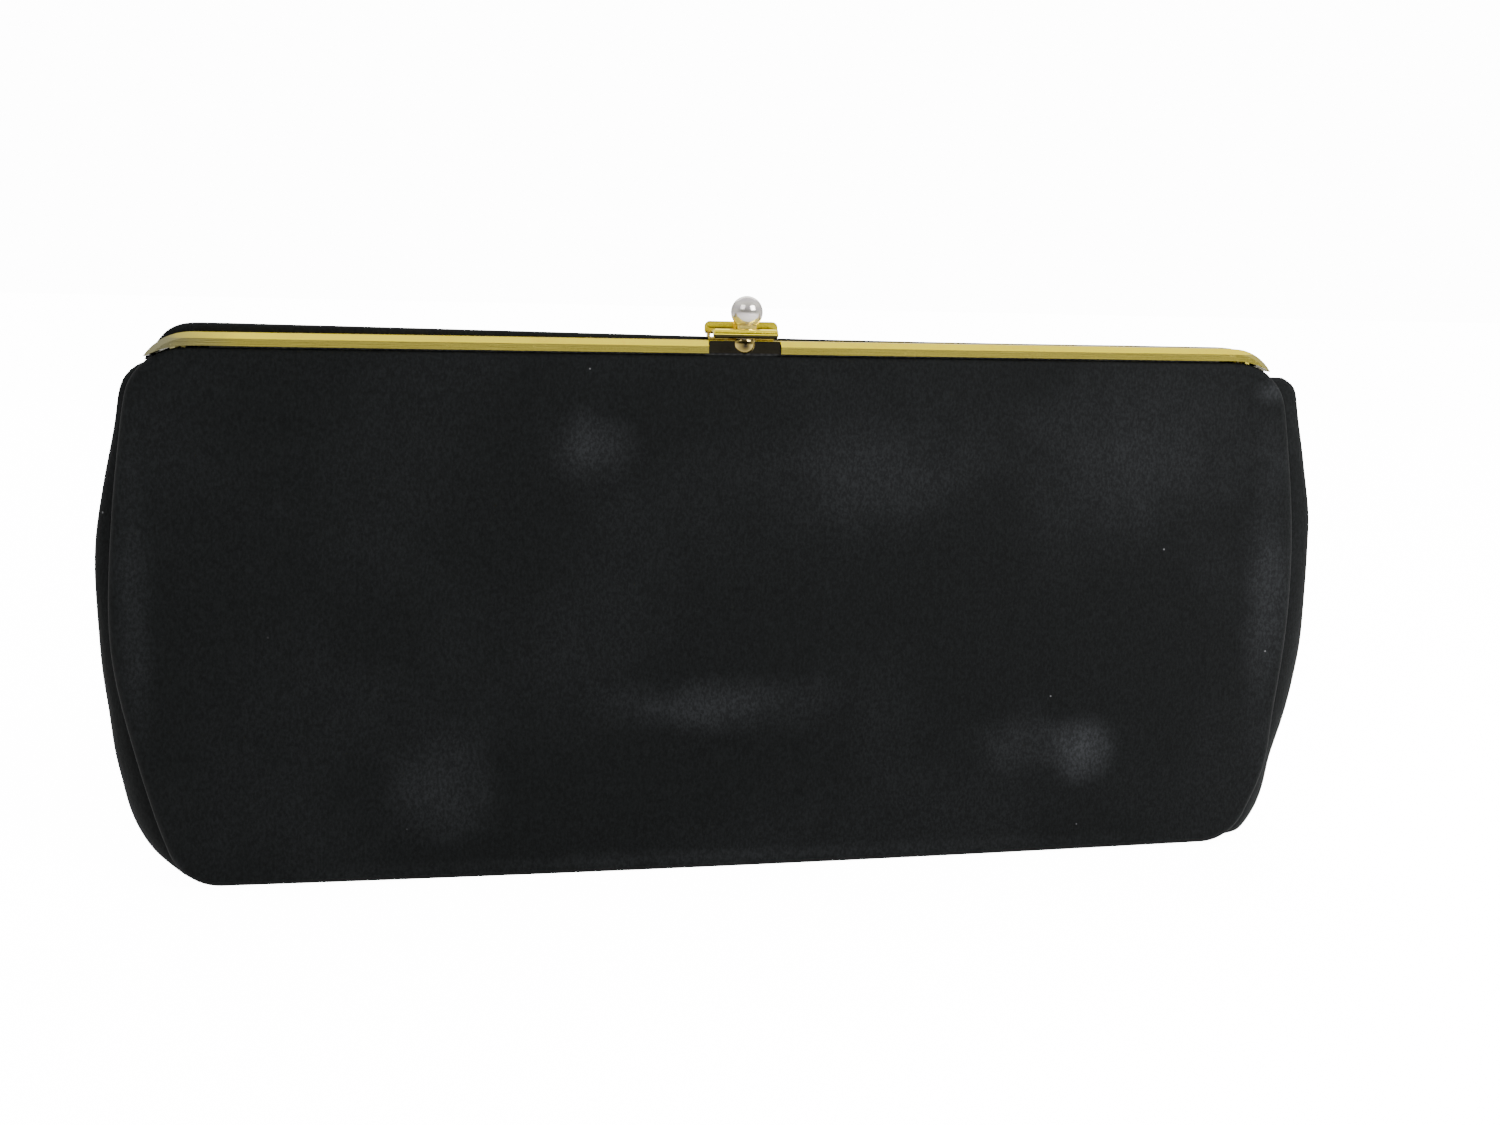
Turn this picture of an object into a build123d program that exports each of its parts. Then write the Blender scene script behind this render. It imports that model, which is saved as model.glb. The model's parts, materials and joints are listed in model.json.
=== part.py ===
"""Frame-topped clutch purse: two padded fabric panels, a folding metal frame and a lift clasp.

Millimetres. +X runs along the purse, the front faces -Y and +Z is up. The origin is at the
middle of the base, on the surface that the purse stands on.
"""
import os
from math import atan2, cos, degrees, hypot, radians, sin, sqrt

from build123d import *

# Panels: each swings about a line near its lower edge and ends at a line under its frame bar.
LOWER_HINGE_Y = 12.1
LOWER_HINGE_Z = 1.9
UPPER_HINGE_Y = 3.1
UPPER_HINGE_Z = 112.9
EDGE_RADIUS = 1.9
EDGE_FILLET = 1.8

# Outline of a panel: three tangent arcs on each side, measured up from its lower hinge line.
PANEL_HALF_WIDTH = 132.4
WIDEST_HEIGHT = 64.0
SIDE_RADIUS = 182.5
SHOULDER_RADIUS = 12.5
CORNER_RADIUS = 11.0

# Layers of a panel, as distances from its mid-plane, outside positive.
SKIN = 0.6
PADDING = (0.45, 1.25)
BOARD = (-1.10, 0.40)
LINING = (-1.85, -1.15)
LAYER_INSET = 0.7
LINING_INSET = 4.0
LEG_SLOT_X = (115.4, 121.2)
LEG_SLOT_BOTTOM = 72.0

# Pocket on the back lining.
POCKET_WIDTH = 118.0
POCKET_HEIGHT = 46.0
POCKET_MIDDLE = 42.0
POCKET_THICKNESS = 0.5
POCKET_CORNER = 5.0
POCKET_CLEARANCE = 0.05
HEM_DROP = 2.5
HEM_WIDTH = 3.0
HEM_THICKNESS = 0.3

# Base.
BASE_HALF_LENGTH = 112.0
BASE_HALF_WIDTH = 9.8
BASE_STRIP = (0.0, 1.0)
BASE_BOARD = (1.05, 2.25)
BASE_LINING = (2.3, 2.7)

# Side gussets: height, chord half-length and outward bulge of each station.
GUSSET_STATIONS = [
    (1.4, 116.2, 4.0),
    (12.0, 121.6, 8.6),
    (32.0, 126.4, 11.8),
    (65.0, 129.2, 10.8),
    (92.0, 128.0, 8.6),
    (109.4, 124.6, 5.6),
]
GUSSET_THICKNESS = 0.9
GUSSET_CLEARANCE = 0.5

# Frame bars and their corners.
BAR_BOTTOM = 115.0
BAR_TOP = 117.75
BAR_INNER_Y = 0.15
BAR_OUTER_Y = 5.0
BAR_BEVEL = 1.2
BAR_CORNER_RADIUS = 11.6
BAR_CORNER_X = 115.0
BAR_TAPER_RADIUS = 19.0
BAR_END_X = 124.2
CHANNEL_Y = (0.85, 4.3)
CHANNEL_TOP = 117.15
CHANNEL_HALF_LENGTH = 112.5
CORD_Z = 116.0
TAPE_RADIUS = 1.05
TAPE_THICKNESS = 0.33
TAPE_BOTTOM = 115.1
TAPE_SHORTER = 1.0
SLEEVE = 0.9
SLEEVE_GAP_HALF_LENGTH = 8.3

# Frame legs and the rivets that join them.
RIVET_Z = 82.0
LEG_WIDTH = 3.2
LEG_THICKNESS = 1.0
LEG_TOP = (1.95, 115.9)
EYE_RADIUS = 4.0
INNER_LEG_X = 117.0
OUTER_LEG_X = 118.3
RIVET_RADIUS = 1.2
RIVET_HEAD_RADIUS = 3.4
RIVET_HEAD = 0.7
HEAD_CLEARANCE = 0.12
FREE_EYE_RADIUS = 2.3
RUNNING_GAP = 0.05

# Clasp.
CLASP_HALF_LENGTH = 7.1
CLASP_PLATE = (119.6, 120.3)
CLASP_LIP_Y = -5.2
CLASP_LIP_Z = 119.3
CLASP_LIP_RADIUS = 1.0
TAB_HALF_LENGTH = 8.15
TAB_Y = (0.9, 1.6)
TAB_TOP = 121.8
TAB_CORNER = 1.2
PIN_Y = 2.6
PIN_Z = 119.9
PIN_RADIUS = 0.55
PIN_HEAD_RADIUS = 0.85
PIN_HEAD = 0.4
KNUCKLE_RADIUS = 0.95
KNUCKLE_HALF_LENGTH = 6.7
BRACKET_HALF_LENGTH = 7.4
BRACKET_EAR_RADIUS = 0.95
BRACKET_EAR = 0.6
BRACKET_PLATE = (117.75, 118.3)
BRACKET_Y = (0.8, 4.6)
BRACKET_RIVET_X = 4.4
BRACKET_RIVET_Y = 1.8
BRACKET_RIVET_RADIUS = 0.5
BRACKET_RIVET_LENGTH = 1.3
BRACKET_HEAD_RADIUS = 0.85
BRACKET_HEAD = 0.3
PEARL_RADIUS = 3.5
PEARL_X = 0.6
PEARL_Y = -2.4
PEARL_POST_RADIUS = 0.6
PEARL_LIFT = 0.1
PEARL_POST_SHORTER = 0.2
PEARL_CUP_RADIUS = 2.3
PEARL_CUP_HEIGHT = 0.8
FIT_GAP = 0.02

# Catch on the front bar.
NOTCH_HALF_LENGTH = 8.0
CATCH_Y = (3.7, 4.3)
CATCH_PLATE_TOP = 117.65
CATCH_STUD_RADIUS = 2.2
CATCH_STUD_HEIGHT = 1.0
CATCH_STUD_Z = 117.2
CATCH_STUD_TOP = 118.2

PANEL_LENGTH = hypot(LOWER_HINGE_Y - UPPER_HINGE_Y, UPPER_HINGE_Z - LOWER_HINGE_Z)
LEAN_Y = (LOWER_HINGE_Y - UPPER_HINGE_Y) / PANEL_LENGTH
LEAN_Z = (UPPER_HINGE_Z - LOWER_HINGE_Z) / PANEL_LENGTH
PANEL_PLANE = Plane(
    origin=(0, -LOWER_HINGE_Y, LOWER_HINGE_Z), x_dir=(1, 0, 0), z_dir=(0, -LEAN_Z, LEAN_Y)
)


def panel_centre_y(z):
    """Distance of a panel's mid-plane from the middle of the purse, at height z."""
    return LOWER_HINGE_Y - (z - LOWER_HINGE_Z) * LEAN_Y / LEAN_Z


def tangent_centre_x(centre_y, radius):
    """Across-position of the centre of a smaller arc that runs smoothly into the side arc."""
    side_centre_x = PANEL_HALF_WIDTH - SIDE_RADIUS
    return side_centre_x + sqrt((SIDE_RADIUS - radius) ** 2 - (centre_y - WIDEST_HEIGHT) ** 2)


def arc_points(centre, radius, start, end):
    """Start, middle and end of an arc, from angles in degrees."""
    angles = [radians(angle) for angle in (start, (start + end) / 2, end)]
    return [(centre[0] + radius * cos(angle), centre[1] + radius * sin(angle)) for angle in angles]


def panel_face(inset=0.0):
    """Panel outline in its own plane: flat top, round shoulders, full sides, tighter lower corners."""
    top = PANEL_LENGTH + EDGE_RADIUS
    bottom = -EDGE_RADIUS
    side = (PANEL_HALF_WIDTH - SIDE_RADIUS, WIDEST_HEIGHT)
    shoulder_y = top - SHOULDER_RADIUS
    shoulder = (tangent_centre_x(shoulder_y, SHOULDER_RADIUS), shoulder_y)
    corner_y = bottom + CORNER_RADIUS
    corner = (tangent_centre_x(corner_y, CORNER_RADIUS), corner_y)
    shoulder_angle = degrees(atan2(shoulder[1] - side[1], shoulder[0] - side[0]))
    corner_angle = degrees(atan2(corner[1] - side[1], corner[0] - side[0]))
    right = Curve() + [
        Line((0, top - inset), (shoulder[0], top - inset)),
        ThreePointArc(*arc_points(shoulder, SHOULDER_RADIUS - inset, 90, shoulder_angle)),
        ThreePointArc(*arc_points(side, SIDE_RADIUS - inset, shoulder_angle, corner_angle)),
        ThreePointArc(*arc_points(corner, CORNER_RADIUS - inset, corner_angle, -90)),
        Line((corner[0], bottom + inset), (0, bottom + inset)),
    ]
    return make_face(right + mirror(right, about=Plane.YZ))


def panel_slab(inset, inner, outer):
    """Slab of the panel's outline between two distances from its mid-plane."""
    face = PANEL_PLANE * Pos(0, 0, inner) * panel_face(inset)
    return extrude(face, amount=outer - inner, dir=PANEL_PLANE.z_dir)


def leg_slots(outer):
    """Room for the frame legs at both shoulders, from the inside out to a distance."""
    width = LEG_SLOT_X[1] - LEG_SLOT_X[0]
    depth = outer + 3 * EDGE_RADIUS
    height = PANEL_LENGTH + 2 * EDGE_RADIUS - LEG_SLOT_BOTTOM
    slot = Box(width, height, depth, align=(Align.MIN, Align.MIN, Align.MAX))
    right = PANEL_PLANE * Pos(LEG_SLOT_X[0], LEG_SLOT_BOTTOM, outer) * slot
    return right + mirror(right, about=Plane.YZ)


def panel_cover():
    """Fabric skin that wraps the panel's outside and edges, open to the inside."""
    solid = panel_slab(0, -EDGE_RADIUS, EDGE_RADIUS)
    rims = solid.faces().filter_by(Axis((0, 0, 0), PANEL_PLANE.z_dir)).edges()
    solid = fillet(rims, EDGE_FILLET)
    pocket = panel_slab(LAYER_INSET, -2 * EDGE_RADIUS, EDGE_RADIUS - SKIN)
    return solid - pocket - leg_slots(EDGE_RADIUS - SKIN)


def panel_layer(layer, inset=LAYER_INSET + 0.1):
    """Board, padding or lining sheet inside the cover, notched for the frame legs."""
    return panel_slab(inset, *layer) - leg_slots(EDGE_RADIUS)


def panel_lining():
    """Satin lining sheet, stitched inside the board's edge and cut away at the frame legs."""
    return panel_slab(LINING_INSET, *LINING) - leg_slots(EDGE_RADIUS)


def slip_pocket():
    """Flat pocket on the back lining, with a folded hem along its mouth."""
    inner = -LINING[0] + POCKET_CLEARANCE
    sheet = extrude(RectangleRounded(POCKET_WIDTH, POCKET_HEIGHT, POCKET_CORNER), amount=POCKET_THICKNESS)
    hem = Pos(0, POCKET_HEIGHT / 2 - HEM_DROP) * Rectangle(POCKET_WIDTH, HEM_WIDTH)
    body = sheet + Pos(0, 0, POCKET_THICKNESS) * extrude(hem, amount=HEM_THICKNESS)
    front = PANEL_PLANE * Pos(0, POCKET_MIDDLE, -inner) * Rot(0, 180, 0) * body
    return mirror(front, about=Plane.XZ)


def base_sheet(span, half_length, half_width, corner):
    """Rounded flat strip of the base between two heights."""
    face = Pos(0, 0, span[0]) * RectangleRounded(2 * half_length, 2 * half_width, corner)
    return extrude(face, amount=span[1] - span[0])


def gusset_section(chord_x, z, bulge, half_depth):
    """Bulging section of the gusset at one height, closed by a straight chord on the inside."""
    corner_x = 0.72 * bulge
    corner_y = 0.72 * half_depth
    sides = [
        Line((0, half_depth), (0, -half_depth)),
        Line((0, -half_depth), (corner_x, -corner_y)),
        ThreePointArc((corner_x, -corner_y), (bulge, 0), (corner_x, corner_y)),
        Line((corner_x, corner_y), (0, half_depth)),
    ]
    return Pos(chord_x, 0, z) * make_face(sides)


def gusset_lens(thinner, overrun):
    """Lofted solid of the bulging sections, thinner all round and longer at both ends."""
    sections = []
    last = len(GUSSET_STATIONS) - 1
    for index, (z, chord_x, bulge) in enumerate(GUSSET_STATIONS):
        half_depth = max(panel_centre_y(z) - EDGE_RADIUS - GUSSET_CLEARANCE - thinner, 0.3)
        shift = {0: -overrun, last: overrun}.get(index, 0)
        sections.append(gusset_section(chord_x - 1.2 * thinner, z + shift, bulge, half_depth))
    return loft(sections, ruled=True)


def gusset():
    """Side gusset on +X: a fabric strip that bulges out between the two panels."""
    return gusset_lens(0, 0) - gusset_lens(GUSSET_THICKNESS, 1.0)


def bar_envelope(grow=0.0, inner_y=BAR_INNER_Y):
    """Front bar's outer form with rounded upper corners, from its inner face to its front face."""
    half = BAR_CORNER_X + BAR_CORNER_RADIUS + grow
    top = BAR_TOP + grow
    bottom = 90.0
    radius = BAR_CORNER_RADIUS + grow
    face = Plane.XZ * Pos(0, (top + bottom) / 2) * Rectangle(2 * half, top - bottom)
    solid = extrude(face, amount=BAR_OUTER_Y + grow - inner_y)
    solid = Pos(0, -inner_y, 0) * solid
    return fillet(solid.edges().filter_by(Axis.Y).group_by(Axis.Z)[-1], radius)


def below_bar(bottom=BAR_BOTTOM):
    """Everything under the bar, with a large arc at each end that tapers the bar to nothing."""
    centre = (BAR_CORNER_X, bottom - BAR_TAPER_RADIUS)
    reach = BAR_END_X - BAR_CORNER_X
    end = (BAR_END_X, centre[1] + sqrt(BAR_TAPER_RADIUS**2 - reach**2))
    half_reach = reach / 2
    middle = (BAR_CORNER_X + half_reach, centre[1] + sqrt(BAR_TAPER_RADIUS**2 - half_reach**2))
    right = Curve() + [
        Line((0, bottom), (BAR_CORNER_X, bottom)),
        ThreePointArc((BAR_CORNER_X, bottom), middle, end),
        Line(end, (140, end[1])),
        Line((140, end[1]), (140, 80)),
        Line((140, 80), (0, 80)),
    ]
    face = make_face(right + mirror(right, about=Plane.YZ))
    return extrude(Plane.XZ * face, amount=20, both=True)


def frame_bar():
    """Front bar: a bevelled strip with a channel for the fabric along its underside."""
    solid = bar_envelope()
    front = solid.faces().sort_by(Axis.Y)[0]
    rim = front.edges().filter_by(lambda edge: edge.center().Z > 100 + BAR_BEVEL)
    solid = chamfer(rim, BAR_BEVEL)
    channel_width = CHANNEL_Y[1] - CHANNEL_Y[0]
    channel = Pos(0, -CHANNEL_Y[0], CHANNEL_TOP) * Box(
        2 * CHANNEL_HALF_LENGTH, channel_width, 10, align=(Align.CENTER, Align.MAX, Align.MAX)
    )
    return solid - below_bar() - channel


def frame_leg(inner_x, eye_hole):
    """Flat leg from the front bar down to its rivet eye, for both ends of the bar."""
    rise = hypot(LEG_TOP[0], LEG_TOP[1] - RIVET_Z)
    lean = Vector(-LEG_TOP[0], LEG_TOP[1] - RIVET_Z).get_angle(Vector(0, 1))
    strap = Pos(0, RIVET_Z) * Rot(0, 0, lean) * Rectangle(LEG_WIDTH, rise, align=(Align.CENTER, Align.MIN))
    face = strap + Pos(0, RIVET_Z) * Circle(EYE_RADIUS) - Pos(0, RIVET_Z) * Circle(eye_hole)
    right = Pos(inner_x, 0, 0) * extrude(Plane.YZ * face, amount=LEG_THICKNESS)
    return right + mirror(right, about=Plane.YZ)


def front_frame():
    """Front frame half: bar with a notch for the catch, and the outer pair of legs."""
    notch = Pos(0, -CATCH_Y[0], BAR_BOTTOM) * Box(
        2 * NOTCH_HALF_LENGTH, 10, 10, align=(Align.CENTER, Align.MAX, Align.CENTER)
    )
    return frame_bar() + frame_leg(OUTER_LEG_X, FREE_EYE_RADIUS) - notch


def back_frame():
    """Back frame half: the plain bar, drilled for the clasp bracket, and the inner pair of legs."""
    solid = mirror(frame_bar() + frame_leg(INNER_LEG_X, RIVET_RADIUS + 0.01), about=Plane.XZ)
    return solid - bracket_rivet_shanks(BRACKET_RIVET_RADIUS + 0.02)


def back_frame_cover():
    """Fabric that wraps the back bar over its top and rear, cut short at the clasp bracket."""
    shell = bar_envelope(SLEEVE, inner_y=0.35) - bar_envelope(0.03, inner_y=0.0)
    shell = shell - below_bar() - Box(2 * SLEEVE_GAP_HALF_LENGTH, 20, 300)
    return mirror(shell, about=Plane.XZ)


def channel_cord():
    """Cord that locks the fabric in the front bar's channel."""
    middle = -(CHANNEL_Y[0] + CHANNEL_Y[1]) / 2
    length = 2 * CHANNEL_HALF_LENGTH - 2
    return Pos(0, middle, CORD_Z) * Rot(0, 90, 0) * Cylinder(0.7, length)


def binding_tape():
    """Tape folded over the cord in the front bar's channel."""
    middle = -(CHANNEL_Y[0] + CHANNEL_Y[1]) / 2
    inner_radius = TAPE_RADIUS - TAPE_THICKNESS
    limbs = Pos(0, (TAPE_BOTTOM + CORD_Z) / 2) * Rectangle(2 * TAPE_RADIUS, CORD_Z - TAPE_BOTTOM)
    fold = Pos(0, CORD_Z) * (Circle(TAPE_RADIUS) & Pos(0, TAPE_RADIUS) * Rectangle(9, 2 * TAPE_RADIUS))
    slit = Pos(0, TAPE_BOTTOM) * Rectangle(2 * inner_radius, 2 * (CORD_Z - TAPE_BOTTOM))
    profile = limbs + fold - slit - Pos(0, CORD_Z) * Circle(inner_radius)
    length = CHANNEL_HALF_LENGTH - TAPE_SHORTER
    return Pos(0, middle, 0) * extrude(Plane.YZ * profile, amount=length, both=True)


def hinge_rivet():
    """Rivet on +X that the two frame legs turn on, with a bevelled head at each end."""
    start = INNER_LEG_X - HEAD_CLEARANCE
    end = OUTER_LEG_X + LEG_THICKNESS + HEAD_CLEARANCE
    shank = Pos((start + end) / 2, 0, RIVET_Z) * Rot(0, 90, 0) * Cylinder(RIVET_RADIUS, end - start)
    head = Cylinder(RIVET_HEAD_RADIUS, RIVET_HEAD, align=(Align.CENTER, Align.CENTER, Align.MIN))
    head = chamfer(head.edges().sort_by(Axis.Z)[-1], 0.5 * RIVET_HEAD)
    outer = Pos(end, 0, RIVET_Z) * Rot(0, 90, 0) * head
    inner = Pos(start, 0, RIVET_Z) * Rot(0, -90, 0) * head
    return shank + outer + inner


def bracket_rivet_shanks(radius):
    """Shanks of the two bracket rivets, through the bracket plate into the bar."""
    shank = Cylinder(radius, BRACKET_RIVET_LENGTH, align=(Align.CENTER, Align.CENTER, Align.MAX))
    return [Pos(side * BRACKET_RIVET_X, BRACKET_RIVET_Y, BRACKET_PLATE[1]) * shank for side in (-1, 1)]


def bracket_rivets():
    """Two small rivets that fix the clasp bracket to the back bar."""
    standing = (Align.CENTER, Align.CENTER, Align.MIN)
    head = Cylinder(BRACKET_HEAD_RADIUS, BRACKET_HEAD, align=standing)
    head = chamfer(head.edges().sort_by(Axis.Z)[-1], 0.5 * BRACKET_HEAD)
    heads = [Pos(side * BRACKET_RIVET_X, BRACKET_RIVET_Y, BRACKET_PLATE[1]) * head for side in (-1, 1)]
    return Part() + bracket_rivet_shanks(BRACKET_RIVET_RADIUS) + heads


def clasp_bracket():
    """Bent plate on the back bar with an upright ear at each end for the clasp pin."""
    depth = BRACKET_Y[1] - BRACKET_Y[0]
    plate = Pos(0, BRACKET_Y[0], BRACKET_PLATE[0]) * Box(
        2 * BRACKET_HALF_LENGTH, depth, BRACKET_PLATE[1] - BRACKET_PLATE[0],
        align=(Align.CENTER, Align.MIN, Align.MIN),
    )
    ear_radius = BRACKET_EAR_RADIUS
    middle = (PIN_Z + BRACKET_PLATE[0]) / 2
    ear = Pos(PIN_Y, PIN_Z) * Circle(ear_radius)
    ear += Pos(PIN_Y, middle) * Rectangle(2 * ear_radius, PIN_Z - BRACKET_PLATE[0])
    right = Pos(BRACKET_HALF_LENGTH - BRACKET_EAR, 0, 0) * extrude(Plane.YZ * ear, amount=BRACKET_EAR)
    solid = plate + right + mirror(right, about=Plane.YZ)
    return solid - pin_cylinder(PIN_RADIUS + 0.02, 30) - bracket_rivet_shanks(BRACKET_RIVET_RADIUS + 0.02)


def pin_cylinder(radius, length):
    """Cylinder on the clasp's axis."""
    return Pos(0, PIN_Y, PIN_Z) * Rot(0, 90, 0) * Cylinder(radius, length)


def clasp_pin():
    """Pin that the clasp turns on, with a small head outside each ear."""
    reach = BRACKET_HALF_LENGTH + RUNNING_GAP
    right = Pos(reach + PIN_HEAD / 2, 0, 0) * pin_cylinder(PIN_HEAD_RADIUS, PIN_HEAD)
    return pin_cylinder(PIN_RADIUS, 2 * reach) + right + mirror(right, about=Plane.YZ)


def clasp_flap():
    """Lift clasp: a top plate with a rolled lip in front, an upright thumb tab and a pin knuckle."""
    length = 2 * CLASP_HALF_LENGTH
    thickness = CLASP_PLATE[1] - CLASP_PLATE[0]
    standing = (Align.CENTER, Align.MIN, Align.MIN)
    plate = Pos(0, CLASP_LIP_Y, CLASP_PLATE[0]) * Box(length, TAB_Y[1] - CLASP_LIP_Y, thickness, align=standing)
    web = Pos(0, TAB_Y[1], CLASP_PLATE[0]) * Box(
        2 * KNUCKLE_HALF_LENGTH, PIN_Y - TAB_Y[1], thickness, align=standing
    )
    lip = Pos(0, CLASP_LIP_Y, CLASP_LIP_Z) * Rot(0, 90, 0) * Cylinder(CLASP_LIP_RADIUS, length)
    lip = chamfer(lip.edges().filter_by(GeomType.CIRCLE), 0.3)
    tab_height = TAB_TOP - CLASP_PLATE[0]
    tab = Pos(0, TAB_Y[0], CLASP_PLATE[0]) * Box(
        2 * TAB_HALF_LENGTH, TAB_Y[1] - TAB_Y[0], tab_height, align=standing
    )
    tab = fillet(tab.edges().filter_by(Axis.Y).group_by(Axis.Z)[-1], TAB_CORNER)
    knuckle = pin_cylinder(KNUCKLE_RADIUS, 2 * KNUCKLE_HALF_LENGTH)
    return plate + web + lip + tab + knuckle - pin_cylinder(PIN_RADIUS + RUNNING_GAP, 30)


def pearl_centre_z():
    """Height of the pearl's centre above the base."""
    return CLASP_PLATE[1] + PEARL_LIFT + PEARL_RADIUS


def pearl():
    """Pearl bead with a blind hole for its post."""
    hole = Pos(0, 0, -PEARL_RADIUS / 2) * Cylinder(PEARL_POST_RADIUS + 0.02, PEARL_RADIUS)
    return Pos(PEARL_X, PEARL_Y, pearl_centre_z()) * (Sphere(PEARL_RADIUS) - hole)


def pearl_cup():
    """Shallow cup on the clasp plate that the pearl sits in."""
    cup = Cylinder(PEARL_CUP_RADIUS, PEARL_CUP_HEIGHT, align=(Align.CENTER, Align.CENTER, Align.MIN))
    cup = Pos(PEARL_X, PEARL_Y, CLASP_PLATE[1]) * cup
    ball = Pos(PEARL_X, PEARL_Y, pearl_centre_z()) * Sphere(PEARL_RADIUS + FIT_GAP)
    hole = Pos(PEARL_X, PEARL_Y, CLASP_PLATE[1]) * Cylinder(PEARL_POST_RADIUS + FIT_GAP, PEARL_RADIUS)
    return cup - ball - hole


def pearl_post():
    """Post that fixes the pearl to the clasp plate."""
    bottom = CLASP_PLATE[1]
    height = pearl_centre_z() - PEARL_POST_SHORTER - bottom
    post = Cylinder(PEARL_POST_RADIUS, height, align=(Align.CENTER, Align.CENTER, Align.MIN))
    return Pos(PEARL_X, PEARL_Y, bottom) * post


def catch_plate():
    """Polished plate set in the front bar's notch."""
    face_height = CATCH_PLATE_TOP - BAR_BOTTOM - 0.1
    return Pos(0, -CATCH_Y[0], BAR_BOTTOM + 0.1) * Box(
        2 * NOTCH_HALF_LENGTH - 0.3, CATCH_Y[1] - CATCH_Y[0], face_height,
        align=(Align.CENTER, Align.MAX, Align.MIN),
    )


def catch_stud():
    """Domed stud on the catch plate, flat on top, that the clasp's lip snaps over."""
    height = CATCH_STUD_HEIGHT
    ball_radius = (CATCH_STUD_RADIUS**2 + height**2) / (2 * height)
    dome = Sphere(ball_radius) & Pos(0, 0, ball_radius - height) * Cylinder(
        2 * ball_radius, 2 * height, align=(Align.CENTER, Align.CENTER, Align.MIN)
    )
    dome = Pos(0, 0, height - ball_radius) * dome
    dome = Pos(0, -CATCH_Y[1], CATCH_STUD_Z) * Rot(90, 0, 0) * dome
    return dome - Pos(0, 0, CATCH_STUD_TOP) * Box(20, 20, 10, align=(Align.CENTER, Align.CENTER, Align.MIN))


def half_parts(prefix, flip):
    """Layers of one panel; the back one is the front one turned over."""
    parts = {
        "board": panel_layer(BOARD),
        "padding": panel_layer(PADDING),
        "cover": panel_cover(),
        "lining": panel_lining(),
    }
    if flip:
        parts = {name: mirror(solid, about=Plane.XZ) for name, solid in parts.items()}
    return {f"{prefix}_{name}": solid for name, solid in parts.items()}


def all_parts():
    """Every piece of the purse by name."""
    parts = half_parts("front", False) | half_parts("back", True)
    parts["slip_pocket"] = slip_pocket()
    parts["base_strip"] = base_sheet(BASE_STRIP, BASE_HALF_LENGTH + 3, BASE_HALF_WIDTH, 4)
    parts["base_board"] = base_sheet(BASE_BOARD, BASE_HALF_LENGTH, BASE_HALF_WIDTH - 0.6, 3)
    parts["base_lining"] = base_sheet(BASE_LINING, BASE_HALF_LENGTH - 1, BASE_HALF_WIDTH - 0.6, 3)
    parts["gusset_right"] = gusset()
    parts["gusset_left"] = mirror(gusset(), about=Plane.YZ)
    parts["front_frame"] = front_frame()
    parts["back_frame"] = back_frame()
    parts["back_frame_cover"] = back_frame_cover()
    parts["front_channel_cord"] = channel_cord()
    parts["back_channel_cord"] = mirror(channel_cord(), about=Plane.XZ)
    parts["front_binding_tape"] = binding_tape()
    parts["back_binding_tape"] = mirror(binding_tape(), about=Plane.XZ)
    parts["hinge_rivet_right"] = hinge_rivet()
    parts["hinge_rivet_left"] = mirror(hinge_rivet(), about=Plane.YZ)
    parts["clasp_bracket"] = clasp_bracket()
    parts["clasp_bracket_rivets"] = bracket_rivets()
    parts["clasp_pin"] = clasp_pin()
    parts["clasp_flap"] = clasp_flap()
    parts["pearl"] = pearl()
    parts["pearl_cup"] = pearl_cup()
    parts["pearl_post"] = pearl_post()
    parts["catch_plate"] = catch_plate()
    parts["catch_stud"] = catch_stud()
    return parts


os.makedirs("parts", exist_ok=True)
for name, solid in all_parts().items():
    export_step(solid, f"parts/{name}.step")
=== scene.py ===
"""Looks of a frame-topped clutch purse: fabric, linings and finishes round its fixed frame.

Metres, in the frame's own axes: +X along the purse, the front faces -Y and +Z is up.
"""
import json
import logging
import math
from collections.abc import Callable, Iterator
from contextlib import contextmanager
from dataclasses import dataclass, field
from enum import Enum

import bmesh
import bpy
from mathutils import Matrix, Vector, noise


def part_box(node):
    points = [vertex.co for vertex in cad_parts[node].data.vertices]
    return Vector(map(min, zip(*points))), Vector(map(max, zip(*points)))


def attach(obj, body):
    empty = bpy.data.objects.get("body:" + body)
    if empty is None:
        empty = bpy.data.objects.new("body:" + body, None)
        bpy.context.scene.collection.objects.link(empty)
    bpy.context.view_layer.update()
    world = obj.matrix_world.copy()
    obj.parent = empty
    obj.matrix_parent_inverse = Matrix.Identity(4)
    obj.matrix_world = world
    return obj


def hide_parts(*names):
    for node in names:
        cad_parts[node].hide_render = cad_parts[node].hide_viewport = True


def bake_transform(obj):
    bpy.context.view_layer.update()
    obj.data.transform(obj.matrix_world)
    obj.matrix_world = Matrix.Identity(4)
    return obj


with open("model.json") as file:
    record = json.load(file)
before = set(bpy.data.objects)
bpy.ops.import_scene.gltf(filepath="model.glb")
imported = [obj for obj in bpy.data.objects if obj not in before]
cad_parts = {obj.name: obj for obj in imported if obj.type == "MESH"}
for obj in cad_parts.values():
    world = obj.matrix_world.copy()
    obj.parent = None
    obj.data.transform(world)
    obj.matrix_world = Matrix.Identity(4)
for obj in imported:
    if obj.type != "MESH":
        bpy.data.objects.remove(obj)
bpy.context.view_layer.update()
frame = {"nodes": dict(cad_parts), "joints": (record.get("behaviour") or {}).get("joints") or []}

MM = 0.001
STITCH_PITCH = 2.3 * MM
STITCH_LENGTH = 1.5 * MM
STITCH_RADIUS = 0.16 * MM
STITCH_FLATNESS = 0.7
STITCH_SIDES = 6
STITCH_RINGS = ((-0.5, 0.3), (-0.3, 0.9), (0.0, 1.0), (0.3, 0.9), (0.5, 0.3))
LOG = logging.getLogger("clutch")
Point = tuple[float, float]
Place = tuple[float, float, float]
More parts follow.
